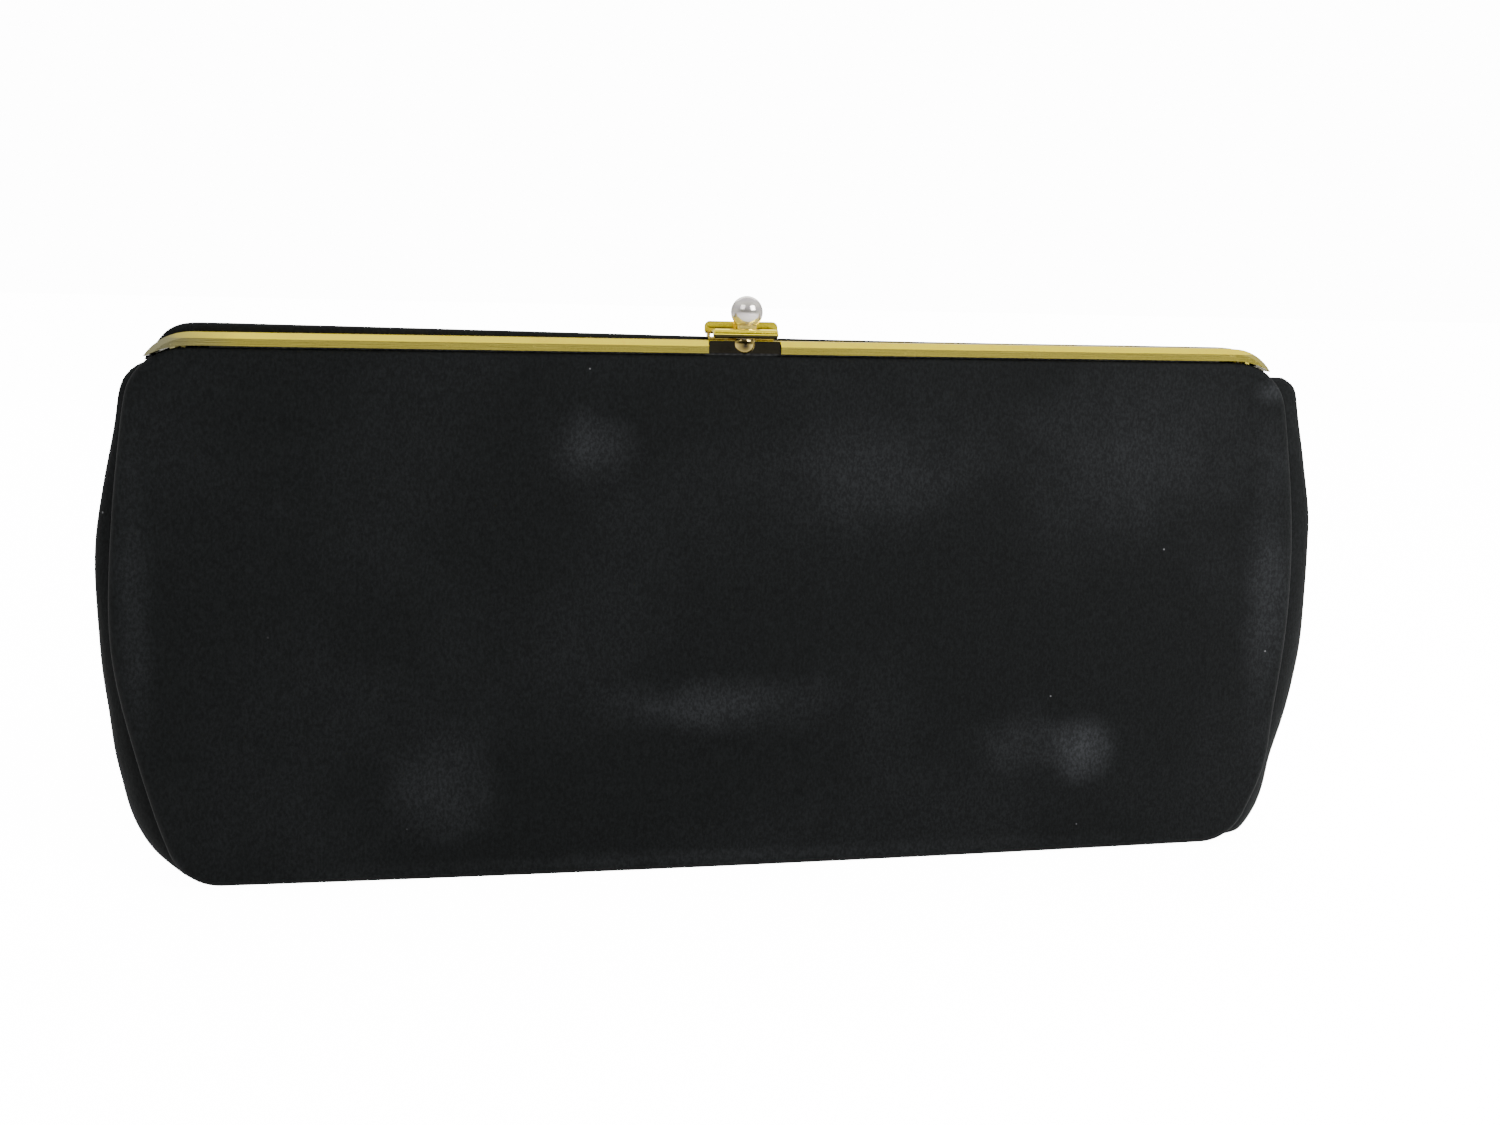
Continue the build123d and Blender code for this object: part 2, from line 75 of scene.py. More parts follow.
Colour = tuple[float, float, float, float]
Feed = float | bpy.types.NodeSocket


class Half(Enum):
    """Which panel a piece belongs to; the value is the sign of its Y."""

    FRONT = -1
    BACK = 1


class Side(Enum):
    """Which end of the purse a piece is at; the value is the sign of its X."""

    LEFT = -1
    RIGHT = 1


# ---------------------------------------------------------------- small tools


def smooth(low: float, high: float, value: float) -> float:
    """Smooth step from 0 at low to 1 at high.

    Args:
        low: Value that gives 0; it may be the larger of the two.
        high: Value that gives 1.
        value: Where to read the step.

    Returns:
        The step's height, from 0 to 1.
    """
    t = min(1.0, max(0.0, (value - low) / (high - low)))
    return t * t * (3 - 2 * t)


def spaced(start: float, end: float, steps: int) -> list[float]:
    """Evenly spaced values from start to end, both included."""
    return [start + (end - start) * i / steps for i in range(steps + 1)]


def uneven(a: float, b: float, waves: Point, seed: float) -> float:
    """Smooth noise over two coordinates.

    Args:
        a: First coordinate.
        b: Second coordinate.
        waves: Waves in one unit of each coordinate.
        seed: Which noise; another number gives another one.

    Returns:
        A value between -1 and 1.
    """
    return noise.noise(Vector((a * waves[0], b * waves[1], seed)))


def hermite(knots: list[Place], at: float) -> float:
    """Smooth curve through knots.

    Args:
        knots: (position, value, slope) of each knot, in rising position.
        at: Where to read the curve.

    Returns:
        The curve's value, held at its ends.
    """
    if at <= knots[0][0]:
        return knots[0][1]
    for (a, va, sa), (b, vb, sb) in zip(knots, knots[1:]):
        if at <= b:
            h = b - a
            t = (at - a) / h
            return (
                (1 + 2 * t) * (1 - t) ** 2 * va
                + t * (1 - t) ** 2 * h * sa
                + t * t * (3 - 2 * t) * vb
                + t * t * (t - 1) * h * sb
            )
    return knots[-1][1]


def arc(centre: Point, radius: float, start: float, end: float, count: int) -> list[Point]:
    """Lays out an arc.

    Args:
        centre: Centre of its circle.
        radius: Radius of its circle.
        start: Angle of its first point, in degrees.
        end: Angle of its last point, in degrees.
        count: How many points it has.

    Returns:
        The points, both ends included.
    """
    angles = [math.radians(angle) for angle in spaced(start, end, count - 1)]
    return [(centre[0] + radius * math.cos(a), centre[1] + radius * math.sin(a)) for a in angles]


def mesh_object(name: str, points: list[Vector], faces: list[tuple[int, ...]]) -> bpy.types.Object:
    """Makes a smooth-shaded mesh object.

    Args:
        name: The piece's name.
        points: Vertices, in metres.
        faces: Vertex indices of each face.

    Returns:
        The new object, linked to the scene.
    """
    mesh = bpy.data.meshes.new(name)
    mesh.from_pydata([tuple(p) for p in points], [], faces)
    mesh.shade_smooth()
    mesh.validate()
    piece = bpy.data.objects.new(name, mesh)
    bpy.context.scene.collection.objects.link(piece)
    return piece


def loop_faces(rings: int, count: int) -> list[tuple[int, ...]]:
    """Lists the quads between successive closed rings.

    Args:
        rings: How many rings there are.
        count: How many points each ring has.

    Returns:
        Vertex indices of each face.
    """
    faces = []
    for ring in range(rings - 1):
        for i in range(count):
            j = (i + 1) % count
            low, high = ring * count, (ring + 1) * count
            faces.append((low + i, low + j, high + j, high + i))
    return faces


def capped_faces(rings: int, count: int) -> list[tuple[int, ...]]:
    """Lists the quads between successive closed rings and the two end caps.

    Args:
        rings: How many rings there are.
        count: How many points each ring has.

    Returns:
        Vertex indices of each face.
    """
    last = (rings - 1) * count
    return [*loop_faces(rings, count), tuple(range(count)), tuple(last + i for i in range(count))]


def sheet_faces(rows: int, columns: int) -> list[tuple[int, ...]]:
    """Lists the quads of an open grid.

    Args:
        rows: How many rows of points there are.
        columns: How many points each row has.

    Returns:
        Vertex indices of each face.
    """
    faces = []
    for row in range(rows - 1):
        for column in range(columns - 1):
            a = row * columns + column
            faces.append((a, a + 1, a + columns + 1, a + columns))
    return faces


@contextmanager
def mesh_edit(piece: bpy.types.Object) -> Iterator[bmesh.types.BMesh]:
    """Opens a piece's mesh for editing and writes it back at the end.

    Args:
        piece: The piece that is edited.

    Returns:
        The editable mesh.
    """
    work = bmesh.new()
    work.from_mesh(piece.data)
    yield work
    work.to_mesh(piece.data)
    work.free()


def recalculate(piece: bpy.types.Object) -> None:
    """Turns a piece's faces to point outwards."""
    with mesh_edit(piece) as work:
        bmesh.ops.recalc_face_normals(work, faces=work.faces)


def apply_modifiers(piece: bpy.types.Object) -> None:
    """Replaces a piece's mesh with the result of its modifiers.

    Args:
        piece: The piece, which is left without modifiers.
    """
    graph = bpy.context.evaluated_depsgraph_get()
    result = bpy.data.meshes.new_from_object(piece.evaluated_get(graph))
    piece.modifiers.clear()
    old = piece.data
    piece.data = result
    bpy.data.meshes.remove(old)


def thicken(piece: bpy.types.Object, thickness: float, levels: int = 0, offset: float = -1.0) -> None:
    """Gives a sheet its thickness, and subdivides it.

    Args:
        piece: The sheet.
        thickness: How thick it becomes.
        levels: How many times it is subdivided.
        offset: Side that the thickness goes to: -1 inwards, 0 both ways.
    """
    solid = piece.modifiers.new("Thickness", "SOLIDIFY")
    solid.thickness = thickness
    solid.offset = offset
    if levels:
        fine = piece.modifiers.new("Fine", "SUBSURF")
        fine.levels = levels
        fine.render_levels = levels
    apply_modifiers(piece)
    piece.data.shade_smooth()


def drop_faces(piece: bpy.types.Object, unwanted: Callable[[Vector], bool]) -> None:
    """Deletes the faces whose middle passes a test.

    Args:
        piece: The mesh to trim.
        unwanted: Function of a face's middle that says whether it goes.
    """
    with mesh_edit(piece) as work:
        gone = [f for f in work.faces if unwanted(f.calc_center_median())]
        bmesh.ops.delete(work, geom=gone, context="FACES")


def joint_point(name: str) -> Vector:
    """A point on a joint's axis, from the frame."""
    found = next(j for j in frame["joints"] if j["name"] == name)
    return Vector(found["pos_m"])


# ---------------------------------------------------------------- node tools


class Nodes:
    """Adds nodes to one tree, with their values and links in one call."""

    def __init__(self, tree: bpy.types.NodeTree) -> None:
        """Keeps the tree that nodes are added to."""
        self.tree = tree

    def add(
        self, kind: str, inputs: dict[str | int, object] | None = None, **settings: object
    ) -> bpy.types.Node:
        """Adds a node.

        Args:
            kind: The node's type name.
            inputs: Socket name or index to a value, or to the socket that feeds it.
            settings: Properties of the node itself.

        Returns:
            The new node.
        """
        made = self.tree.nodes.new(kind)
        for name, value in settings.items():
            setattr(made, name, value)
        for key, value in (inputs or {}).items():
            if isinstance(value, bpy.types.NodeSocket):
                self.tree.links.new(value, made.inputs[key])
            else:
                made.inputs[key].default_value = value
        return made

    def math(self, operation: str, a: Feed, b: Feed = 0.0, clamp: bool = False) -> bpy.types.NodeSocket:
        """Result of a math node on two values or sockets."""
        return self.add("ShaderNodeMath", {0: a, 1: b}, operation=operation, use_clamp=clamp).outputs[0]

    def ramp(
        self, value: Feed, low: float, high: float, start: float = 0.0, end: float = 1.0
    ) -> bpy.types.NodeSocket:
        """Smoothly maps a range of a socket's values to another range.

        Args:
            value: What is mapped.
            low: Value that gives start.
            high: Value that gives end.
            start: Result at low and beyond it.
            end: Result at high and beyond it.

        Returns:
            The mapped value's socket.
        """
        made = self.add(
            "ShaderNodeMapRange",
            {"Value": value, "From Min": low, "From Max": high, "To Min": start, "To Max": end},
            interpolation_type="SMOOTHSTEP",
        )
        return made.outputs["Result"]

    def mix(
        self, factor: Feed, a: Colour | bpy.types.NodeSocket, b: Colour | bpy.types.NodeSocket
    ) -> bpy.types.NodeSocket:
        """Mixes two colours.

        Args:
            factor: Share of the second colour.
            a: First colour.
            b: Second colour.

        Returns:
            The mixed colour's socket.
        """
        made = self.add("ShaderNodeMix", {0: factor, 6: a, 7: b}, data_type="RGBA")
        return made.outputs[2]

    def group(self, tree: bpy.types.NodeTree, **inputs: Feed | Vector) -> bpy.types.Node:
        """Places a node group.

        Args:
            tree: The group.
            inputs: Its values; underscores stand for the spaces in an input's name.

        Returns:
            The group's node.
        """
        made = self.tree.nodes.new("ShaderNodeGroup")
        made.node_tree = tree
        for key, value in inputs.items():
            socket = made.inputs[key.replace("_", " ").title()]
            if isinstance(value, bpy.types.NodeSocket):
                self.tree.links.new(value, socket)
            else:
                socket.default_value = value
        return made


def new_group(
    name: str, inputs: list[tuple[str, str, object]], outputs: list[str]
) -> tuple[bpy.types.NodeTree, Nodes, bpy.types.Node, bpy.types.Node]:
    """Starts a shader node group.

    Args:
        name: The group's name.
        inputs: (name, socket type, default) of each input.
        outputs: Names of its float outputs.

    Returns:
        The group tree, its Nodes helper, its input node and its output node.
    """
    tree = bpy.data.node_groups.new(name, "ShaderNodeTree")
    for label, kind, default in inputs:
        socket = tree.interface.new_socket(name=label, in_out="INPUT", socket_type=kind)
        socket.default_value = default
    for label in outputs:
        tree.interface.new_socket(name=label, in_out="OUTPUT", socket_type="NodeSocketFloat")
    nodes = Nodes(tree)
    return tree, nodes, nodes.add("NodeGroupInput"), nodes.add("NodeGroupOutput")


def object_place(nodes: Nodes) -> bpy.types.NodeSocket:
    """The point on the object, in the object's own axes."""
    return nodes.add("ShaderNodeTexCoord").outputs["Object"]


def stitch_rows(name: str, seams: list[list[Vector]], out: Vector) -> bpy.types.Object:
    """Rows of running stitches.

    Args:
        name: The piece's name.
        seams: Points along each seam.
        out: Direction that the seams face.

    Returns:
        One mesh object with every stitch.
    """
    points, faces = [], []
    for seam in seams:
        travelled = 0.0
        for a, b in zip(seam, seam[1:]):
            travelled += (b - a).length
            if travelled < STITCH_PITCH:
                continue
            travelled -= STITCH_PITCH
            along = (b - a).normalized()
            across = along.cross(out).normalized()
            first = len(points)
            for share, size in STITCH_RINGS:
                middle = b + along * share * STITCH_LENGTH - out * (1 - size) * STITCH_RADIUS
                for k in range(STITCH_SIDES):
                    turn = 2 * math.pi * k / STITCH_SIDES
                    spread = across * math.cos(turn) + out * math.sin(turn) * STITCH_FLATNESS
                    points.append(middle + spread * STITCH_RADIUS * size)
            stitch = capped_faces(len(STITCH_RINGS), STITCH_SIDES)
            faces += [tuple(first + i for i in face) for face in stitch]
    stitches = mesh_object(name, points, faces)
    recalculate(stitches)
    return stitches


class Effects:
    """Shared node groups, each built once."""

    def __init__(self) -> None:
        """Builds every group."""
        self.weave = self._weave()
        self.crepe = self._crepe()
        self.spot = self._spot()
        self.patina = self._patina()
        # The level group masks where shade is painted, under a height.
        self.level = self._painted_shade_mask()

    def _weave(self) -> bpy.types.NodeTree:
        """Crossing threads of a plain cloth.

        Returns:
            The node group.
        """
        tree, n, given, out = new_group(
            "Plain weave",
            [("Pitch", "NodeSocketFloat", 0.0006), ("Waver", "NodeSocketFloat", 2.0)],
            ["Height", "Tone"],
        )
        place = object_place(n)
        scale = n.math("DIVIDE", 0.16, given.outputs["Pitch"])
        threads = []
        for direction in ("X", "Z"):
            wave = n.add(
                "ShaderNodeTexWave",
                {"Vector": place, "Scale": scale, "Distortion": given.outputs["Waver"], "Detail": 2.0},
                bands_direction=direction,
            )
            threads.append(wave.outputs["Fac"])
        both = n.math("MULTIPLY", n.math("ADD", threads[0], threads[1]), 0.5)
        drift = n.add("ShaderNodeTexNoise", {"Vector": place, "Scale": 420.0, "Detail": 3.0})
        tone = n.math("MULTIPLY", both, n.ramp(drift.outputs["Fac"], 0.3, 0.7, 0.6, 1.2))
        n.tree.links.new(both, out.inputs["Height"])
        n.tree.links.new(tone, out.inputs["Tone"])
        return tree

    def _crepe(self) -> bpy.types.NodeTree:
        """Pebbled, slightly streaky grain of crepe.

        Returns:
            The node group.
        """
        tree, n, given, out = new_group(
            "Crepe grain",
            [("Grain", "NodeSocketFloat", 0.0011), ("Streak", "NodeSocketFloat", 0.5)],
            ["Height", "Tone", "Rub", "Lint"],
        )
        place = object_place(n)
        fleck = n.add("ShaderNodeTexVoronoi", {"Vector": place, "Scale": 150.0, "Randomness": 1.0})
        chosen = n.add("ShaderNodeSeparateColor", {0: fleck.outputs["Color"]}).outputs[0]
        small = n.ramp(fleck.outputs["Distance"], 0.045, 0.02)
        lint = n.math("MULTIPLY", small, n.ramp(chosen, 0.8, 0.84))
        n.tree.links.new(lint, out.inputs["Lint"])
        fine = n.math("DIVIDE", 1.0, given.outputs["Grain"])
        squash = n.add("ShaderNodeMapping", {"Vector": place, "Scale": (1.0, 1.0, 0.62)})
        pebble = n.add(
            "ShaderNodeTexNoise",
            {"Vector": squash.outputs[0], "Scale": fine, "Detail": 4.0, "Roughness": 0.65},
        )
        upright = n.add("ShaderNodeMapping", {"Vector": place, "Scale": (1.0, 1.0, 0.06)})
        streak = n.add("ShaderNodeTexNoise", {"Vector": upright.outputs[0], "Scale": 700.0, "Detail": 3.0})
        level = n.add("ShaderNodeMapping", {"Vector": place, "Scale": (0.05, 1.0, 1.0)})
        bar = n.add("ShaderNodeTexNoise", {"Vector": level.outputs[0], "Scale": 500.0, "Detail": 2.0})
        broad = n.add("ShaderNodeTexNoise", {"Vector": place, "Scale": 26.0, "Detail": 4.0})
        threads = n.math("ADD", streak.outputs["Fac"], n.math("MULTIPLY", bar.outputs["Fac"], 0.6))
        height = n.math(
            "ADD", pebble.outputs["Fac"], n.math("MULTIPLY", threads, given.outputs["Streak"])
        )
        n.tree.links.new(height, out.inputs["Height"])
        n.tree.links.new(n.ramp(pebble.outputs["Fac"], 0.32, 0.72), out.inputs["Tone"])
        n.tree.links.new(n.ramp(broad.outputs["Fac"], 0.42, 0.68), out.inputs["Rub"])
        return tree

    def _spot(self) -> bpy.types.NodeTree:
        """Soft oval mask round a place on the object.

        Returns:
            The node group.
        """
        tree, n, given, out = new_group(
            "Soft spot",
            [("Centre", "NodeSocketVector", (0, 0, 0)), ("Size", "NodeSocketVector", (1, 1, 1))],
            ["Mask"],
        )
        gap = n.add("ShaderNodeVectorMath", {0: object_place(n), 1: given.outputs[0]}, operation="SUBTRACT")
        share = n.add("ShaderNodeVectorMath", {0: gap.outputs[0], 1: given.outputs[1]}, operation="DIVIDE")
        reach = n.add("ShaderNodeVectorMath", {0: share.outputs[0]}, operation="LENGTH").outputs["Value"]
        ragged = n.add("ShaderNodeTexNoise", {"Vector": object_place(n), "Scale": 90.0, "Detail": 5.0})
        edge = n.math("ADD", reach, n.math("MULTIPLY", ragged.outputs["Fac"], 0.9))
        n.tree.links.new(n.ramp(edge, 1.5, 0.45), out.inputs["Mask"])
        return tree

    def _patina(self) -> bpy.types.NodeTree:
        """Brush lines, fine scratches and tarnish of plated metal.

        Returns:
            The node group.
        """
        tree, n, given, out = new_group(
            "Plated metal wear",
            [("Brush", "NodeSocketFloat", 0.4), ("Tarnish", "NodeSocketFloat", 0.4)],
            ["Height", "Stain", "Dull"],
        )
        place = object_place(n)
        along = n.add("ShaderNodeMapping", {"Vector": place, "Scale": (0.02, 1.0, 1.0)})
        lines = n.add("ShaderNodeTexNoise", {"Vector": along.outputs[0], "Scale": 5200.0, "Detail": 3.0})
        cloud = n.add(
            "ShaderNodeTexNoise", {"Vector": place, "Scale": 140.0, "Detail": 6.0, "Roughness": 0.7}
        )
        speck = n.add("ShaderNodeTexNoise", {"Vector": place, "Scale": 1900.0, "Detail": 2.0})
        stain = n.math("MULTIPLY", n.ramp(cloud.outputs["Fac"], 0.45, 0.72), given.outputs["Tarnish"])
        dull = n.math("ADD", stain, n.math("MULTIPLY", n.ramp(speck.outputs["Fac"], 0.6, 0.8), 0.35))
        height = n.math("MULTIPLY", lines.outputs["Fac"], given.outputs["Brush"])
        n.tree.links.new(height, out.inputs["Height"])
        n.tree.links.new(stain, out.inputs["Stain"])
        n.tree.links.new(dull, out.inputs["Dull"])
        return tree

    def _painted_shade_mask(self) -> bpy.types.NodeTree:
        """Mask of what lies under a height, with a slightly uneven edge, where shade is painted on plated
        metal.

        Returns:
            The node group.
        """
        tree, n, given, out = new_group(
            "Painted shade under a height",
            [("Top", "NodeSocketFloat", 0.0), ("Blur", "NodeSocketFloat", 0.0002)],
            ["Mask"],
        )
        place = object_place(n)
        height = n.add("ShaderNodeSeparateXYZ", {0: place}).outputs["Z"]
        uneven = n.add("ShaderNodeTexNoise", {"Vector": place, "Scale": 60.0, "Detail": 2.0}).outputs["Fac"]
        edge = n.math("ADD", given.outputs["Top"], n.math("MULTIPLY", uneven, given.outputs["Blur"]))
        gap = n.math("DIVIDE", n.math("SUBTRACT", edge, height), given.outputs["Blur"])
        n.tree.links.new(n.ramp(gap, 0.0, 1.0), out.inputs["Mask"])
        return tree


# ---------------------------------------------------------------- finishes


def start_material(name: str) -> tuple[bpy.types.Material, Nodes, bpy.types.Node]:
    """Makes a material.

    Args:
        name: The material's name.

    Returns:
        The material, its Nodes helper and its Principled node.
    """
    made = bpy.data.materials.new(name)
    made.use_nodes = True
    return made, Nodes(made.node_tree), made.node_tree.nodes["Principled BSDF"]


def bump(n: Nodes, shader: bpy.types.Node, height: Feed, distance: float, strength: float = 1.0) -> None:
    """Feeds a height into a shader's normal.

    Args:
        n: Helper of the material's tree.
        shader: The Principled node.
        height: Height of the surface, from 0 to 1.
        distance: What a height of 1 stands for, in metres.
        strength: Share of the effect that is kept.
    """
    made = n.add("ShaderNodeBump", {"Height": height, "Distance": distance, "Strength": strength})
    n.tree.links.new(made.outputs["Normal"], shader.inputs["Normal"])


@dataclass(frozen=True)
class Crepe:
    """Black crepe with a pebbled grain, rubbed in places."""

    name: str = "black_crepe"
    dark: Colour = (0.0012, 0.0015, 0.0015, 1)
    light: Colour = (0.0040, 0.0047, 0.0049, 1)
    rubbed: Colour = (0.030, 0.032, 0.035, 1)
    lint: Colour = (0.10, 0.10, 0.105, 1)
    grain: float = 0.55 * MM
    depth: float = 0.09 * MM
    rub: float = 0.07
    spots: tuple[tuple[Vector, Vector, float], ...] = ()

    def make(self, effects: Effects) -> bpy.types.Material:
        """Builds the material.

        Args:
            effects: The shared node groups.

        Returns:
            The material.
        """
        material, n, shader = start_material(self.name)
        grain = n.group(effects.crepe, grain=self.grain, streak=0.5)
        tone = n.mix(grain.outputs["Tone"], self.dark, self.light)
        worn = n.math("MULTIPLY", grain.outputs["Rub"], self.rub)
        for centre, size, amount in self.spots:
            mask = n.group(effects.spot, centre=centre, size=size).outputs["Mask"]
            worn = n.math("ADD", worn, n.math("MULTIPLY", mask, amount))
        worn = n.math("MULTIPLY", worn, n.ramp(grain.outputs["Tone"], 0.0, 1.0, 0.45, 1.0), clamp=True)
        cloth = n.mix(worn, tone, self.rubbed)
        n.tree.links.new(n.mix(grain.outputs["Lint"], cloth, self.lint), shader.inputs["Base Color"])
        shader.inputs["Roughness"].default_value = 0.75
        shader.inputs["Specular IOR Level"].default_value = 0.07
        shader.inputs["Sheen Weight"].default_value = 0.02
        shader.inputs["Sheen Roughness"].default_value = 0.5
        bump(n, shader, grain.outputs["Height"], self.depth)
        return material


@dataclass(frozen=True)
class Cloth:
    """Plain woven cloth: lining satin, tape or thread."""

    name: str
    dark: Colour
    light: Colour
    pitch: float
    roughness: float
    sheen: float = 0.1

    def make(self, effects: Effects) -> bpy.types.Material:
        """Builds the material.

        Args:
            effects: The shared node groups.

        Returns:
            The material.
        """
        material, n, shader = start_material(self.name)
        weave = n.group(effects.weave, pitch=self.pitch, waver=1.6)
        n.tree.links.new(n.mix(weave.outputs["Tone"], self.dark, self.light), shader.inputs["Base Color"])
        drift = n.ramp(weave.outputs["Tone"], 0.2, 1.0, self.roughness + 0.08, self.roughness - 0.06)
        n.tree.links.new(drift, shader.inputs["Roughness"])
        shader.inputs["Sheen Weight"].default_value = self.sheen
        bump(n, shader, weave.outputs["Height"], 0.25 * self.pitch)
        return material


@dataclass(frozen=True)
class Plated:
    """Plated metal with brush lines and tarnish, and optional painted shade: a darker colour below a given
    height.
    """

    name: str
    bright: Colour
    stain: Colour
    roughness: float
    brush: float
    tarnish: float
    # lower and the height after it: painted shade, the lower colour painted on all of the piece below that
    # height.
    lower: Colour | None = None
    painted_shade_top: float = 0.0
    spots: tuple[tuple[Vector, Vector, Colour], ...] = ()

    def make(self, effects: Effects) -> bpy.types.Material:
        """Builds the material.

        Args:
            effects: The shared node groups.

        Returns:
            The material.
        """
        material, n, shader = start_material(self.name)
        wear = n.group(effects.patina, brush=self.brush, tarnish=self.tarnish)
        tone = n.mix(wear.outputs["Stain"], self.bright, self.stain)
        # Painted shade: below the given height the colour turns to the lower one.
        if self.lower:
            under = n.group(effects.level, top=self.painted_shade_top, blur=0.12 * MM)
            tone = n.mix(under.outputs["Mask"], tone, self.lower)
        for centre, size, colour in self.spots:
            mask = n.group(effects.spot, centre=centre, size=size).outputs["Mask"]
            tone = n.mix(mask, tone, colour)
        n.tree.links.new(tone, shader.inputs["Base Color"])
        rough = n.ramp(wear.outputs["Dull"], 0.0, 1.0, self.roughness, self.roughness + 0.3)
        n.tree.links.new(rough, shader.inputs["Roughness"])
        shader.inputs["Metallic"].default_value = 1.0
        bump(n, shader, wear.outputs["Height"], 0.02 * MM)
        return material


@dataclass(frozen=True)
class PearlLustre:
    """Pearl bead with a soft, layered lustre, and a painted olive-gold reflection towards its edges."""

    name: str = "pearl_lustre"
    cream: Colour = (0.64, 0.61, 0.53, 1)
    rose: Colour = (0.50, 0.45, 0.47, 1)
    painted_rim_reflection: Colour = (0.24, 0.21, 0.13, 1)

    def make(self) -> bpy.types.Material:
        """Builds the material.

        Returns:
            The material.
        """
        material, n, shader = start_material(self.name)
        place = object_place(n)
        cloud = n.add("ShaderNodeTexNoise", {"Vector": place, "Scale": 260.0, "Detail": 3.0})
        ring = n.add(
            "ShaderNodeTexWave",
            {"Vector": place, "Scale": 210.0, "Distortion": 3.0, "Detail": 2.0},
            bands_direction="Z",
        )
        tint = n.math("MULTIPLY", n.math("ADD", cloud.outputs["Fac"], ring.outputs["Fac"]), 0.5)
        # Towards the edges the colour turns olive-gold: a painted reflection of the gilt round the bead.
        facing = n.add("ShaderNodeLayerWeight", {"Blend": 0.35}).outputs["Facing"]
        body = n.mix(tint, self.cream, self.rose)
        n.tree.links.new(n.mix(n.ramp(facing, 0.25, 0.95), body, self.painted_rim_reflection), shader.inputs["Base Color"])
        shader.inputs["Metallic"].default_value = 0.8
        n.tree.links.new(n.ramp(tint, 0.0, 1.0, 0.12, 0.2), shader.inputs["Roughness"])
        shader.inputs["Coat Weight"].default_value = 0.3
        shader.inputs["Coat Roughness"].default_value = 0.04
        bump(n, shader, cloud.outputs["Fac"], 0.02 * MM)
        return material


@dataclass(frozen=True)
class Board:
    """Pressed board, dyed dark, with loose fibres."""

    name: str
    pale: Colour
    dark: Colour

    def make(self) -> bpy.types.Material:
        """Builds the material.

        Returns:
            The material.
        """
        material, n, shader = start_material(self.name)
        place = object_place(n)
        fibre = n.add(
            "ShaderNodeTexNoise", {"Vector": place, "Scale": 900.0, "Detail": 6.0, "Roughness": 0.7}
        )
        n.tree.links.new(n.mix(fibre.outputs["Fac"], self.pale, self.dark), shader.inputs["Base Color"])
        shader.inputs["Roughness"].default_value = 0.9
        bump(n, shader, fibre.outputs["Fac"], 0.1 * MM)
        return material


@dataclass(frozen=True)
class Rub:
    """Rubbed patch of the front panel, in millimetres, and how strong it is."""

    x: float
    z: float
    half_width: float
    half_height: float
    strength: float


FRONT_RUBS = (
    Rub(-33, 95, 12, 9, 0.34),
    Rub(30, 88, 30, 17, 0.16),
    Rub(-5, 38, 31, 8, 0.32),
    Rub(80, 25, 11, 9, 0.62),
    Rub(66, 27, 16, 9, 0.2),
    Rub(-66, 20, 15, 15, 0.22),
    Rub(92, 92, 44, 24, 0.18),
    Rub(126, 60, 8, 44, 0.3),
    Rub(-128, 60, 5, 40, 0.16),
    Rub(-124, 5, 5, 4, 0.7),
    Rub(125, 108, 6, 4, 0.5),
    Rub(0, 3, 130, 3, 0.14),
)
RUB_DEPTH = 40 * MM


def front_wear() -> tuple[tuple[Vector, Vector, float], ...]:
    """Places the rubbed patches on the front panel's face.

    Returns:
        The middle, the half sizes and the strength of each.
    """
    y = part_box("front_cover")[0].y
    return tuple(
        (
            Vector((rub.x * MM, y, rub.z * MM)),
            Vector((rub.half_width * MM, RUB_DEPTH, rub.half_height * MM)),
            rub.strength,
        )
        for rub in FRONT_RUBS
    )


